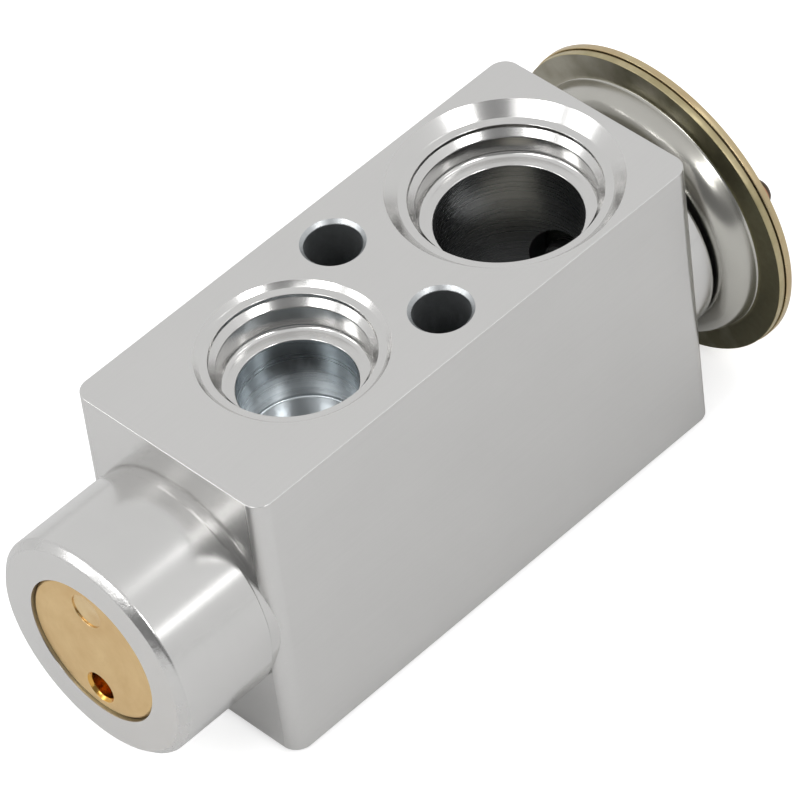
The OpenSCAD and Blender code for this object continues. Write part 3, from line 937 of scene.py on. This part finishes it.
    def build(self) -> bpy.types.Object:
        """Makes the block and puts it in place of its node.

        Returns:
            The block.
        """
        layout = self.layout
        faces = Finish(
            "satin_faces", ALUMINIUM, roughness=0.34, grain=Grain.BRUSHED, fine=5.0, run=0.12,
            depth=0.0012, uneven=0.05, shade=0.02, cloud=0.1, patch=0.09,
        )
        end_face = replace(faces, name="milled_end", roughness=0.2, uneven=0.04, lines=ALONG_Y)
        turned_nose = Finish(
            "turned_nose", ALUMINIUM, roughness=0.2, grain=Grain.TURNED, fine=9.0, depth=0.0005,
            uneven=0.05, shade=0.02, cloud=0.12, patch=0.2, axis=layout.valve_axis(),
        )
        nose_edge = Finish(
            "nose_edge", ALUMINIUM, roughness=0.27, fine=0.35, depth=0.07, shade=0.05, cloud=0.3
        )
        # The bores' darker grey is painted shade
        bores = replace(turned_nose, name="valve_bores", colour=BORE_PAINTED_SHADE, roughness=0.3, depth=0.001)
        seats = replace(turned_nose, depth=0.0006)
        passages = replace(bores, roughness=0.27, fine=2.0, depth=0.006, shade=0.25, cloud=0.3, patch=0.4)
        drilled = Finish(
            "drilled_holes", PASSAGE_GREY, roughness=0.42, fine=2.0, depth=0.003, shade=0.1, cloud=0.7,
            patch=0.5,
        )
        block = dress(self.bar(), faces, end_face)
        paint(block, lambda middle: middle[:, 0] < self.end + NEAR)
        for y in (-self.bolt_y, self.bolt_y):
            combine(block, dress(self.through_hole(y), drilled), Cut.REMOVE)
        combine(block, dress(self.stud_hole(), drilled), Cut.REMOVE)
        nose = dress(self.nose(), turned_nose, nose_edge)
        edge = (layout.tip + NEAR, layout.tip + self.nose_chamfer + 0.2)
        paint(nose, lambda middle: np.searchsorted(edge, middle[:, 0]) == 1)
        combine(block, nose, Cut.ADD)
        combine(block, dress(self.boss(), turned_nose), Cut.ADD)
        front, back = layout.front(self.outlet.x), layout.back(self.inlet.x)
        through = layout.front(self.suction.x)
        outlet = self.liquid_port(self.outlet, front, self.outlet_r)
        inlet = self.liquid_port(self.inlet, back, 0.0)
        # Suction passage in painted shade, liquid passages in lighter bluish painted light; every passage
        # floor takes the bores' painted shade
        cutters = (
            ("suction", BORE_PAINTED_SHADE, self.suction, through, layout.top, self.suction_passage()),
            ("outlet", BORE_PAINTED_LIGHT, self.outlet, front, self.liquid_floor, outlet),
            ("inlet", BORE_PAINTED_LIGHT, self.inlet, back, self.liquid_floor, inlet),
        )
        for name, colour, port, axis, floor, cutter in cutters:
            seat = replace(seats, name=name + "_port", axis=axis)
            passage = replace(passages, name=name + "_passage", colour=colour, axis=axis)
            dress(cutter, seat, passage, bores)
            paint(cutter, port.zones(layout, floor))
            combine(block, cutter, Cut.REMOVE)
        combine(block, dress(self.valve_bore(), bores), Cut.REMOVE)
        smooth(block)
        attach(block, "valve_block")
        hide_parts("valve_body")
        return block


@dataclass
class AdjustingScrew:
    """The brass screw in the nose, with a spanner hole and a shallow mark opposite it.

    Attributes:
        layout: Places in the frame.
        r: Radius of its head and thread.
        recess: How far its face lies behind the nose's front.
        edge: Chamfer of the head and of the inner end.
        thread_start: Start of the thread, from the face.
        thread_end: End of the thread, from the face.
        length: Length of the screw.
        spigot_r: Radius of the smooth inner part.
        relief: Depth of the groove behind the thread, and the length of each of its three parts.
        groove_r: Radius in the groove of the sealing ring.
        groove_half: Half the width of that groove.
        groove_back: Distance of its middle from the inner end.
        spring_r: Radius of the bore that takes the spring.
        end_t: Thickness between that bore and the face.
        hole_at: Distance of hole and mark from the axis.
        hole: Radius and depth of the spanner hole.
        mark: Radius and depth of the mark.
    """

    layout: Layout
    r: float = 8.75
    recess: float = 0.3
    edge: float = 0.3
    thread_start: float = 0.6
    thread_end: float = 8.1
    length: float = 13.6
    spigot_r: float = 7.54
    relief: float = 0.6
    groove_r: float = 6.1
    groove_half: float = 1.07
    groove_back: float = 2.3
    spring_r: float = 5.15
    end_t: float = 4.5
    hole_at: float = 5.75
    hole: tuple[float, float] = (1.6, 2.6)
    mark: tuple[float, float] = (2.05, 0.16)

    def pit(self, axis: Axis, radius: float, depth: float) -> bpy.types.Object:
        """Cutter of a round pit with a chamfer.

        Args:
            axis: Its axis, from the screw's face inwards.
            radius: Its radius.
            depth: Its depth.

        Returns:
            The cutter.
        """
        chamfer = depth / 8
        ease = chamfer / 3
        corners = [
            (0.0, -OVER, 0.0),
            (radius + OVER + chamfer, -OVER, 0.0),
            (radius + chamfer, 0.0, ease),
            (radius, chamfer, ease),
            (radius, depth, ease),
            (0.0, depth + chamfer, 0.0),
        ]
        return turned("spanner_hole", eased(corners), axis, sides=64)

    def build(self) -> bpy.types.Object:
        """Makes the screw and puts it in place of its node.

        Returns:
            The screw.
        """
        face = self.layout.tip + self.recess
        axis = self.layout.valve_axis()
        end = face + self.length
        groove = end - self.groove_back
        thread = Thread(self.r, face + self.thread_start, face + self.thread_end)
        low = self.spigot_r - self.relief
        out = thread.end + self.relief
        corners = [
            (0.0, face, 0.0),
            (self.r - self.edge, face, 0.12),
            (self.r, face + self.edge, 0.12),
            *thread.corners(),
            (low, out, 0.1),
            (low, out + self.relief, 0.1),
            (self.spigot_r, out + 2 * self.relief, 0.1),
            (self.spigot_r, groove - self.groove_half, 0.1),
            (self.groove_r, groove - self.groove_half, 0.1),
            (self.groove_r, groove + self.groove_half, 0.1),
            (self.spigot_r, groove + self.groove_half, 0.1),
            (self.spigot_r, end - self.edge, 0.1),
            (self.spigot_r - self.edge, end, 0.1),
            (self.spring_r, end, 0.1),
            (self.spring_r, face + self.end_t, 0.0),
            (0.0, face + self.end_t, 0.0),
        ]
        brass = Finish(
            "turned_brass", BRASS, roughness=0.32, grain=Grain.TURNED, fine=5.0, depth=0.0012,
            uneven=0.06, shade=0.04, cloud=0.8, patch=0.3, axis=axis, stain=(0.64, 0.42, 0.18),
        )
        # Deeper orange in the spanner hole: painted reflection of brass within brass
        drilled = Finish("brass_hole_painted_reflection", (0.75, 0.42, 0.1), roughness=0.2, fine=3.0, depth=0.002)
        bright = replace(brass, name="struck_brass", colour=(0.84, 0.66, 0.38), roughness=0.24)
        screw = dress(turned("brass_screw", eased(corners), axis, thread=thread), brass)
        for side, size, finish in ((-1.0, self.hole, drilled), (1.0, self.mark, bright)):
            place = Axis((face, 0.0, self.layout.height + side * self.hole_at), ALONG_X, ALONG_Y)
            combine(screw, dress(self.pit(place, *size), finish), Cut.REMOVE)
        smooth(screw)
        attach(screw, "screw")
        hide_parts("adjusting_screw")
        return screw


@dataclass
class BiasSpring:
    """The coil spring between screw and ball support, made in two halves.

    Attributes:
        layout: Places in the frame.
        wire_r: Radius of the wire.
        coil_r: Radius of the coil, to the middle of the wire.
        turns: Turns of the whole spring.
        steps: Rings of points for each turn.
        sides: Points round the wire.
        close: Rise of the first and of the last turn, against the wire's radius.
        cut: Share of a turn left open on each side of the middle.
    """

    layout: Layout
    wire_r: float = 0.7
    coil_r: float = 4.2
    turns: float = 6.5
    steps: int = 48
    sides: int = 20
    close: float = 2.08
    cut: float = 0.0005

    def half(self, name: str, first: float, last: float, ends: tuple[float, float]) -> bpy.types.Object:
        """Part of the coil: a circle (angle v) carried along a helix (turn u) whose end turns lie close.

        Radius = coil_r + wire_r * cos(v), place = ends[0] + rise(u) + wire_r * sin(v), angle = 2 pi u.

        Args:
            name: Name of the piece.
            first: Turn where it starts.
            last: Turn where it ends.
            ends: Places of the wire's middle at both ends of the whole coil.

        Returns:
            The new object.
        """
        axis = replace(self.layout.valve_axis(), side=DOWN)
        turn = np.linspace(first, last, round((last - first) * self.steps))
        around = np.linspace(0.0, TAU, self.sides, endpoint=False)
        turn, around = np.meshgrid(turn, around, indexing="ij")
        span, closed = ends[1] - ends[0], self.close * self.wire_r
        turns = [0.0, 1.0, self.turns - 1.0, self.turns]
        rise = np.interp(turn, turns, [0.0, closed, span - closed, span])
        radius = self.coil_r + self.wire_r * np.cos(around)
        place = ends[0] + rise + self.wire_r * np.sin(around)
        return grid_mesh(name, axis.points(radius, place, TAU * turn), caps=True)

    def build(self) -> tuple[bpy.types.Object, ...]:
        """Makes both halves where the node was and hides the node.

        Returns:
            The screw's half and the ball's half.
        """
        low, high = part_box("bias_spring")
        ends = (low.x / MM + self.wire_r, high.x / MM - self.wire_r)
        middle = self.turns / 2
        wire = Finish("spring_wire", SPRING_STEEL, roughness=0.3, fine=2.0, depth=0.002, cloud=0.2)
        screw_half = dress(self.half("coil_screw_half", 0.0, middle - self.cut, ends), wire)
        ball_half = dress(self.half("coil_ball_half", middle + self.cut, self.turns, ends), wire)
        for half in (screw_half, ball_half):
            smooth(half)
        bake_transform(screw_half)
        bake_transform(ball_half)
        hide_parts("bias_spring")
        return screw_half, ball_half


@dataclass
class PowerHead:
    """The power head: two pressed covers, threaded neck and charging tube.

    Attributes:
        layout: Places in the frame.
        gap: Distance between boss and lower cover.
        sheet: Thickness of the covers.
        cup_r: Radius of the lower cover's cup.
        cup_height: Height of the cup with its flange.
        diaphragm: Thickness of the diaphragm between the flanges.
        cap_height: Height of the upper cover.
        rim_r: Radius of the upper cover's rim.
        lip: How much smaller the lower cover's rim is.
        rim_edge: Rounding of both rims.
        olive_inset: Start of the flange's olive tone painted dark as shade, inside the cup's radius.
        gold_inset: Start of its yellow edge, inside the rim's radius.
        neck_r: Radius of the neck.
        neck_bore_r: Radius of its bore.
        neck_start: Start of the neck, inside the boss's end.
        neck_thread: Depth of its thread.
        collar: Width of the neck's collar in the lower cover.
        collar_t: Thickness of that collar.
        tube_r: Radius of the charging tube.
        tube_bore_r: Radius of its bore.
        tube_at: Distance of the tube from the valve's axis.
        tube_length: Length of the tube outside the cover.
        tube_inside: How far it reaches in beyond the cover's sheet.
        tube_end: Thickness of its closed end.
        burnt: Length of the end that heat has darkened.
        braze: Width and height of the brazed collar round the tube.
    """

    layout: Layout
    gap: float = 0.5
    sheet: float = 0.8
    cup_r: float = 16.0
    cup_height: float = 4.15
    diaphragm: float = 0.15
    cap_height: float = 4.0
    rim_r: float = 19.0
    lip: float = 0.15
    rim_edge: float = 0.07
    olive_inset: float = 0.12
    gold_inset: float = 0.5
    neck_r: float = 9.0
    neck_bore_r: float = 5.2
    neck_start: float = 6.65
    neck_thread: float = 0.5
    collar: float = 1.4
    collar_t: float = 0.6
    tube_r: float = 1.7
    tube_bore_r: float = 1.1
    tube_at: float = 8.1
    tube_length: float = 4.4
    tube_inside: float = 0.3
    tube_end: float = 1.4
    burnt: float = 0.7
    braze: float = 0.8

    @property
    def base(self) -> float:
        """Outer face of the lower cover's base."""
        return self.layout.boss_end + self.gap

    @property
    def flange(self) -> float:
        """Upper face of the lower cover's flange."""
        return self.base + self.cup_height

    @property
    def cap(self) -> float:
        """Lower face of the upper cover's flange."""
        return self.flange + self.diaphragm

    @property
    def top(self) -> float:
        """Outer face of the upper cover."""
        return self.cap + self.cap_height

    def cup(self) -> bpy.types.Object:
        """The lower cover, a turned sheet whose flange underside is painted dark as shade, with painted
        light towards +Y.

        Returns:
            The cover.
        """
        h = self.sheet / 2
        axis = self.layout.valve_axis()
        path = eased(
            [
                (self.neck_r + NEAR, self.base + h, 0.0),
                (self.cup_r - 1.2, self.base + h, 2.1),
                (self.cup_r - 0.5, self.flange - h, 0.75),
                (self.rim_r - self.lip - self.rim_edge, self.flange - h, 0.0),
            ],
            steps=12,
        )
        section = sheet_outline(path, self.sheet, self.rim_edge)
        cup = turned("grey_cup", section, axis, sides=256)
        grey = Finish(
            "satin_cup", CUP_GREY, roughness=0.23, grain=Grain.TURNED, fine=3.0, depth=0.0003,
            uneven=0.03, shade=0.02, cloud=0.2, patch=0.2, axis=axis,
        )
        # Painted shade on the flange's underside; its lighter clouds gather towards +Y as painted light
        olive = Finish(
            "olive_flange_painted_shade", OLIVE_ZINC_PAINTED_SHADE, roughness=0.45, fine=1.2, depth=0.003, uneven=0.1, shade=0.1,
            cloud=0.8, patch=0.3, stain=(0.36, 0.34, 0.28), lean=(0.0, 0.025, 0.0),
        )
        gold = Finish(
            "gold_edge", YELLOW_ZINC, roughness=0.32, fine=0.8, depth=0.01, uneven=0.1, shade=0.12,
            cloud=0.7, patch=0.3, stain=(0.3, 0.26, 0.13),
        )
        dress(cup, grey, olive, gold)
        # Painted shade on the flange from the olive inset outwards, yellow edge from the gold inset
        rings = (self.cup_r - self.olive_inset, self.rim_r - self.gold_inset)

        def ring(middle: np.ndarray) -> np.ndarray:
            """Numbers the faces by their distance from the axis."""
            return np.searchsorted(rings, np.hypot(middle[:, 1], middle[:, 2] - self.layout.height))

        paint(cup, ring)
        smooth(cup)
        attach(cup, "valve_block")
        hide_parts("lower_cover")
        return cup

    def lid(self) -> bpy.types.Object:
        """The upper cover, a turned sheet with the hole for the tube.

        Returns:
            The cover.
        """
        h = self.sheet / 2
        path = eased(
            [
                (0.0, self.top - h, 0.0),
                (self.cup_r - 2.6, self.top - h, 2.2),
                (self.cup_r + 0.35, self.cap + h, 1.4),
                (self.rim_r - self.rim_edge, self.cap + h, 0.0),
            ],
            steps=12,
        )
        section = sheet_outline(path, self.sheet, self.rim_edge)
        lid = turned("yellow_lid", section, self.layout.valve_axis(), sides=256)
        zinc = Finish(
            "yellow_zinc", YELLOW_ZINC, roughness=0.3, fine=0.8, depth=0.006, uneven=0.1, shade=0.1,
            cloud=0.45, patch=0.2, stain=(0.52, 0.33, 0.17),
        )
        dress(lid, zinc)
        hole = [(0.0, -self.sheet, 0.0), (self.tube_r + NEAR, -self.sheet, 0.0)]
        hole += [(radius, place + 3 * self.sheet, 0.0) for radius, place, _ in hole[::-1]]
        tool = turned("tube_hole", eased(hole), self.tube_axis(self.top - self.sheet), sides=64)
        combine(lid, dress(tool, zinc), Cut.REMOVE)
        smooth(lid)
        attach(lid, "valve_block")
        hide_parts("upper_cover")
        return lid

    def tube_axis(self, x: float) -> Axis:
        """The charging tube's axis, from a place on it."""
        return Axis((x, -self.tube_at, self.layout.height), ALONG_X, ALONG_Y)

    def tube(self) -> bpy.types.Object:
        """The charging tube in its brazed collar, with its closed end, darkened where heat sealed it.

        Returns:
            The tube.
        """
        inside = -self.sheet - self.tube_inside
        corners = [
            (self.tube_bore_r, inside, 0.0),
            (self.tube_r, inside, 0.05),
            (self.tube_r, 0.0, 0.0),
            (self.tube_r + self.braze, 0.0, 0.0),
            (self.tube_r + 0.8 * self.braze, 0.2 * self.braze, 0.1),
            (self.tube_r + 0.15 * self.braze, 0.4 * self.braze, 0.15),
            (self.tube_r, self.braze, 0.1),
            (self.tube_r, self.tube_length, 1.2),
            (0.0, self.tube_length, 0.0),
            (0.0, self.tube_length - self.tube_end, 0.0),
            (self.tube_bore_r, self.tube_length - self.tube_end, 0.4),
        ]
        tube = turned("copper_tube", eased(corners), self.tube_axis(self.top), sides=64)
        copper = Finish(
            "drawn_copper", COPPER, roughness=0.35, fine=1.5, depth=0.004, cloud=0.4,
            stain=(0.3, 0.16, 0.1),
        )
        burnt = replace(copper, name="burnt_copper", colour=(0.1, 0.075, 0.05), roughness=0.45)
        dress(tube, copper, burnt)
        paint(tube, lambda middle: middle[:, 0] > self.top + self.tube_length - self.burnt)
        smooth(tube)
        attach(tube, "valve_block")
        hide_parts("charging_tube")
        return tube

    def neck(self) -> bpy.types.Object:
        """The threaded neck with its collar in the lower cover.

        Returns:
            The neck.
        """
        start, floor = self.layout.boss_end - self.neck_start, self.base + self.sheet
        lead = 0.6
        thread = Thread(self.neck_r, start + lead, self.base - 0.4, depth=self.neck_thread)
        collar_end = floor + self.collar_t
        corners = [
            (self.neck_bore_r, start, 0.1),
            (self.neck_r - lead, start, 0.1),
            *thread.corners(),
            (self.neck_r, floor, 0.0),
            (self.neck_r + self.collar, floor, 0.1),
            (self.neck_r + self.collar, collar_end, 0.2),
            (self.neck_bore_r, collar_end, 0.1),
        ]
        axis = self.layout.valve_axis()
        neck = turned("steel_neck", eased(corners), axis, sides=160, thread=thread)
        dress(neck, Finish("turned_steel", STEEL, roughness=0.24, fine=4.0, depth=0.001))
        smooth(neck)
        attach(neck, "valve_block")
        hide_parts("head_neck")
        return neck

    def build(self) -> tuple[bpy.types.Object, ...]:
        """Makes the covers, the neck and the tube, and returns them."""
        return self.cup(), self.lid(), self.neck(), self.tube()


@dataclass(frozen=True)
class PhotoCamera:
    """The camera that took the photograph.

    Attributes:
        target: Point that it looks at, in millimetres.
        azimuth: Its side, in degrees from -Y towards +X.
        elevation: Its height above the horizon, in degrees.
        roll: Its turn about its own axis, in degrees.
        distance: Distance from the target, in millimetres.
        focal: Focal length in pixels of the picture.
        picture: Side of the picture, in pixels.
        offset: Where the target lies from the picture's middle, in pixels to the right and down.
    """

    target: tuple[float, float, float] = (-0.306, 0.0, 18.3)
    azimuth: float = -40.12
    elevation: float = 45.311
    roll: float = -7.895
    distance: float = 667.324
    focal: float = 6386.32
    picture: float = 800.0
    offset: tuple[float, float] = (1.775, 1.446)

    def build(self) -> bpy.types.Object:
        """Makes the camera and gives it to the scene.

        Returns:
            The camera.
        """
        a, e, t = (math.radians(v) for v in (self.azimuth, self.elevation, self.roll))
        back = Vector((math.sin(a) * math.cos(e), -math.cos(a) * math.cos(e), math.sin(e)))
        level = Vector((math.cos(a), math.sin(a), 0.0))
        up = back.cross(level)
        right = math.cos(t) * level + math.sin(t) * up
        top = back.cross(right)
        data = bpy.data.cameras.new("photo_camera")
        data.sensor_width = 36.0
        data.lens = self.focal / self.picture * data.sensor_width
        data.shift_x = -self.offset[0] / self.picture
        data.shift_y = self.offset[1] / self.picture
        data.clip_start, data.clip_end = 0.01, 20.0
        camera = bpy.data.objects.new("photo_camera", data)
        bpy.context.scene.collection.objects.link(camera)
        turn = Matrix((right, top, back)).transposed().to_4x4()
        eye = Vector(self.target) + back * self.distance
        camera.matrix_world = Matrix.Translation(eye * MM) @ turn
        bpy.context.scene.camera = camera
        return camera


@dataclass(frozen=True)
class SoftBox:
    """A flat studio lamp that faces the part.

    Attributes:
        name: Name of the lamp.
        azimuth: Its side, in degrees from +X towards +Y.
        elevation: Its height above the horizon, in degrees.
        size: Side of its square face, in metres.
        glow: Radiance of the lamp, against 1 for the white surroundings.
        aim: Place on the valve's axis that it faces, from which its direction counts, in millimetres.
        distance: Distance from there, in metres.
    """

    name: str
    azimuth: float
    elevation: float
    size: float
    glow: float
    aim: float = 0.0
    distance: float = 0.9

    def build(self, height: float) -> bpy.types.Object:
        """Makes the lamp, whose power is glow * pi * area.

        Args:
            height: Height of the valve's axis, in millimetres.

        Returns:
            The lamp.
        """
        data = bpy.data.lights.new(self.name, "AREA")
        data.shape = "SQUARE"
        data.size = self.size
        data.energy = self.glow * math.pi * self.size**2
        lamp = bpy.data.objects.new(self.name, data)
        bpy.context.scene.collection.objects.link(lamp)
        side, rise = math.radians(self.azimuth), math.radians(self.elevation)
        out = Vector((math.cos(side) * math.cos(rise), math.sin(side) * math.cos(rise), math.sin(rise)))
        lamp.location = Vector((self.aim, 0.0, height)) * MM + out * self.distance
        lamp.rotation_mode = "QUATERNION"
        lamp.rotation_quaternion = (-out).to_track_quat("-Z", "Y")
        return lamp


@dataclass
class Studio:
    """Floor, surroundings and lamps.

    Attributes:
        floor_size: Side of the floor, in metres.
        floor_cells: Faces along a side of the floor.
        floor_white: Diffuse reflection of the floor.
        lift: Light added where the camera itself sees the floor, so that it is white.
        shine: Light added where metal mirrors the floor.
        room_side: Direction in which the room is darker.
        room_span: Cosines of the angle to that side at which the light starts and ends to fall.
        room_light: Strength of the surroundings outside and inside those angles.
        boxes: The lamps.
    """

    floor_size: float = 1.6
    floor_cells: int = 8
    floor_white: float = 0.68
    lift: float = 0.62
    shine: float = 0.06
    room_side: tuple[float, float, float] = (-0.64, -0.77, 0.0)
    room_span: tuple[float, float] = (0.42, 0.76)
    room_light: tuple[float, float] = (0.83, 0.2)
    boxes: tuple[SoftBox, ...] = (
        SoftBox("right_box", -93.0, 43.0, 0.21, 12.0),
        SoftBox("left_box", -179.0, 41.0, 0.29, 7.0),
        SoftBox("far_box", 143.0, 30.0, 0.27, 4.0),
        SoftBox("nose_side_box", -63.0, 25.0, 0.1, 2.2, aim=-38.0),
        SoftBox("nose_top_box", -26.6, 55.5, 0.05, 3.2, aim=-36.0, distance=0.35),
        SoftBox("nose_end_box", -150.0, 58.5, 0.06, 2.0, aim=-36.0, distance=0.34),
    )

    def floor(self, height: float) -> bpy.types.Object:
        """A pale floor, flat at one height, whose colour the camera sees lifted to white.

        Args:
            height: Its height, in metres.

        Returns:
            The floor.
        """
        cells, row = self.floor_cells, self.floor_cells + 1
        span = np.linspace(-self.floor_size / 2, self.floor_size / 2, row)
        x, y = np.meshgrid(span, span)
        points = np.stack([x, y, np.full_like(x, height)], -1)
        first = np.arange(cells)[:, None] * row + np.arange(cells)[None, :]
        quads = np.stack([first, first + 1, first + row + 1, first + row], -1).reshape(-1, 4)
        mesh = bpy.data.meshes.new("floor")
        mesh.from_pydata(points.reshape(-1, 3).tolist(), [], quads.tolist())
        floor = bpy.data.objects.new("floor", mesh)
        bpy.context.scene.collection.objects.link(floor)
        material = bpy.data.materials.new("pale_floor")
        graph = Graph(material)
        diffuse = graph.add("BsdfDiffuse", {"Color": (self.floor_white,) * 3 + (1.0,)})
        path = graph.add("LightPath").outputs
        mirrored = graph.math("ADD", path["Is Glossy Ray"], path["Is Transmission Ray"])
        lifted = graph.math("MULTIPLY", path["Is Camera Ray"], self.lift)
        lifted = graph.math("MULTIPLY_ADD", mirrored, self.shine, lifted)
        lift = graph.add("Emission", {"Color": (1.0, 1.0, 1.0, 1.0), "Strength": lifted})
        both = graph.add("AddShader", {0: diffuse.outputs[0], 1: lift.outputs[0]})
        graph.add("OutputMaterial", {"Surface": both.outputs[0]})
        mesh.materials.append(material)
        floor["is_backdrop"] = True
        return floor

    def surroundings(self) -> None:
        """Pale walls all round with a darker room on one side; the camera itself sees white."""
        world = bpy.data.worlds.new("studio")
        bpy.context.scene.world = world
        graph = Graph(world)
        facing = graph.along(graph.add("TexCoord").outputs["Generated"], self.room_side)
        (outer, inner), (pale, dark) = self.room_span, self.room_light
        sockets = {"Value": facing, "From Min": outer, "From Max": inner, "To Min": pale, "To Max": dark}
        level = graph.add("MapRange", sockets, interpolation_type="SMOOTHSTEP").outputs["Result"]
        seen = graph.add("LightPath").outputs["Is Camera Ray"]
        strength = graph.math("MAXIMUM", level, seen)
        back = graph.add("Background", {"Color": (1.0, 1.0, 1.0, 1.0), "Strength": strength})
        graph.add("OutputWorld", {"Surface": back.outputs[0]})

    def build(self, floor: float, axis: float) -> None:
        """Makes floor, surroundings and lamps.

        Args:
            floor: Height of the floor, in metres.
            axis: Height of the valve's axis, in millimetres.
        """
        self.floor(floor)
        self.surroundings()
        for box in self.boxes:
            box.build(axis)


def dress_nodes(nodes: dict[str, bpy.types.Object], axis: Axis) -> None:
    """Gives the carried-over nodes their finishes.

    Args:
        nodes: The frame's node objects by name.
        axis: The valve's axis, for turned marks.
    """
    steel = Finish(
        "ground_steel", STEEL, roughness=0.2, grain=Grain.TURNED, fine=6.0, depth=0.001, axis=axis
    )
    spring = Finish("spring_sheet", SPRING_STEEL, roughness=0.35, fine=2.0, depth=0.002)
    rubber = Finish("seal_rubber", (0.02, 0.02, 0.02), metal=0.0, roughness=0.5, fine=2.0, depth=0.003)
    nylon = Finish("nylon_sleeve", (0.8, 0.76, 0.66), metal=0.0, roughness=0.45, fine=1.5, depth=0.002)
    white = Finish("white_washer", (0.85, 0.85, 0.82), metal=0.0, roughness=0.4, fine=1.5, depth=0.002)
    plated = Finish("plated_support", (0.6, 0.54, 0.4), roughness=0.3, fine=2.0, depth=0.002)
    rod = replace(steel, name="turned_rod", colour=ALUMINIUM, roughness=0.25)
    chosen = {
        "screw_seal_ring": rubber,
        "rod_seal_ring": rubber,
        "head_seal_ring": rubber,
        "damper_spring": spring,
        "rod_seal_retainer": spring,
        "ball_support": plated,
        "valve_ball": steel,
        "orifice_ring": steel,
        "operating_pin": steel,
        "diaphragm": steel,
        "sensing_rod": rod,
        "diaphragm_stopper": rod,
        "rod_sleeve": nylon,
        "rod_seal_washer": white,
    }
    for name, finish in chosen.items():
        dress(nodes[name], finish)
        LOG.info("dressed %s as %s", name, finish.name)


def main() -> None:
    """Builds the scene in order: frame, camera, new pieces, carried-over nodes and studio."""
    logging.basicConfig(level=logging.INFO, format="%(name)s: %(message)s")
    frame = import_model()
    cad_box = [list(corner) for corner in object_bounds()]
    PhotoCamera().build()
    layout = Layout.read()
    pieces = [ValveBlock(layout).build(), AdjustingScrew(layout).build()]
    pieces += BiasSpring(layout).build()
    pieces += PowerHead(layout).build()
    for piece in pieces:
        LOG.info("built %s with %d faces", piece.name, len(piece.data.polygons))
    dress_nodes(frame["nodes"], layout.valve_axis())
    Studio().build(cad_box[0][2], layout.height)
    bpy.context.scene.view_settings.view_transform = "Standard"


if __name__ == "__main__":
    main()
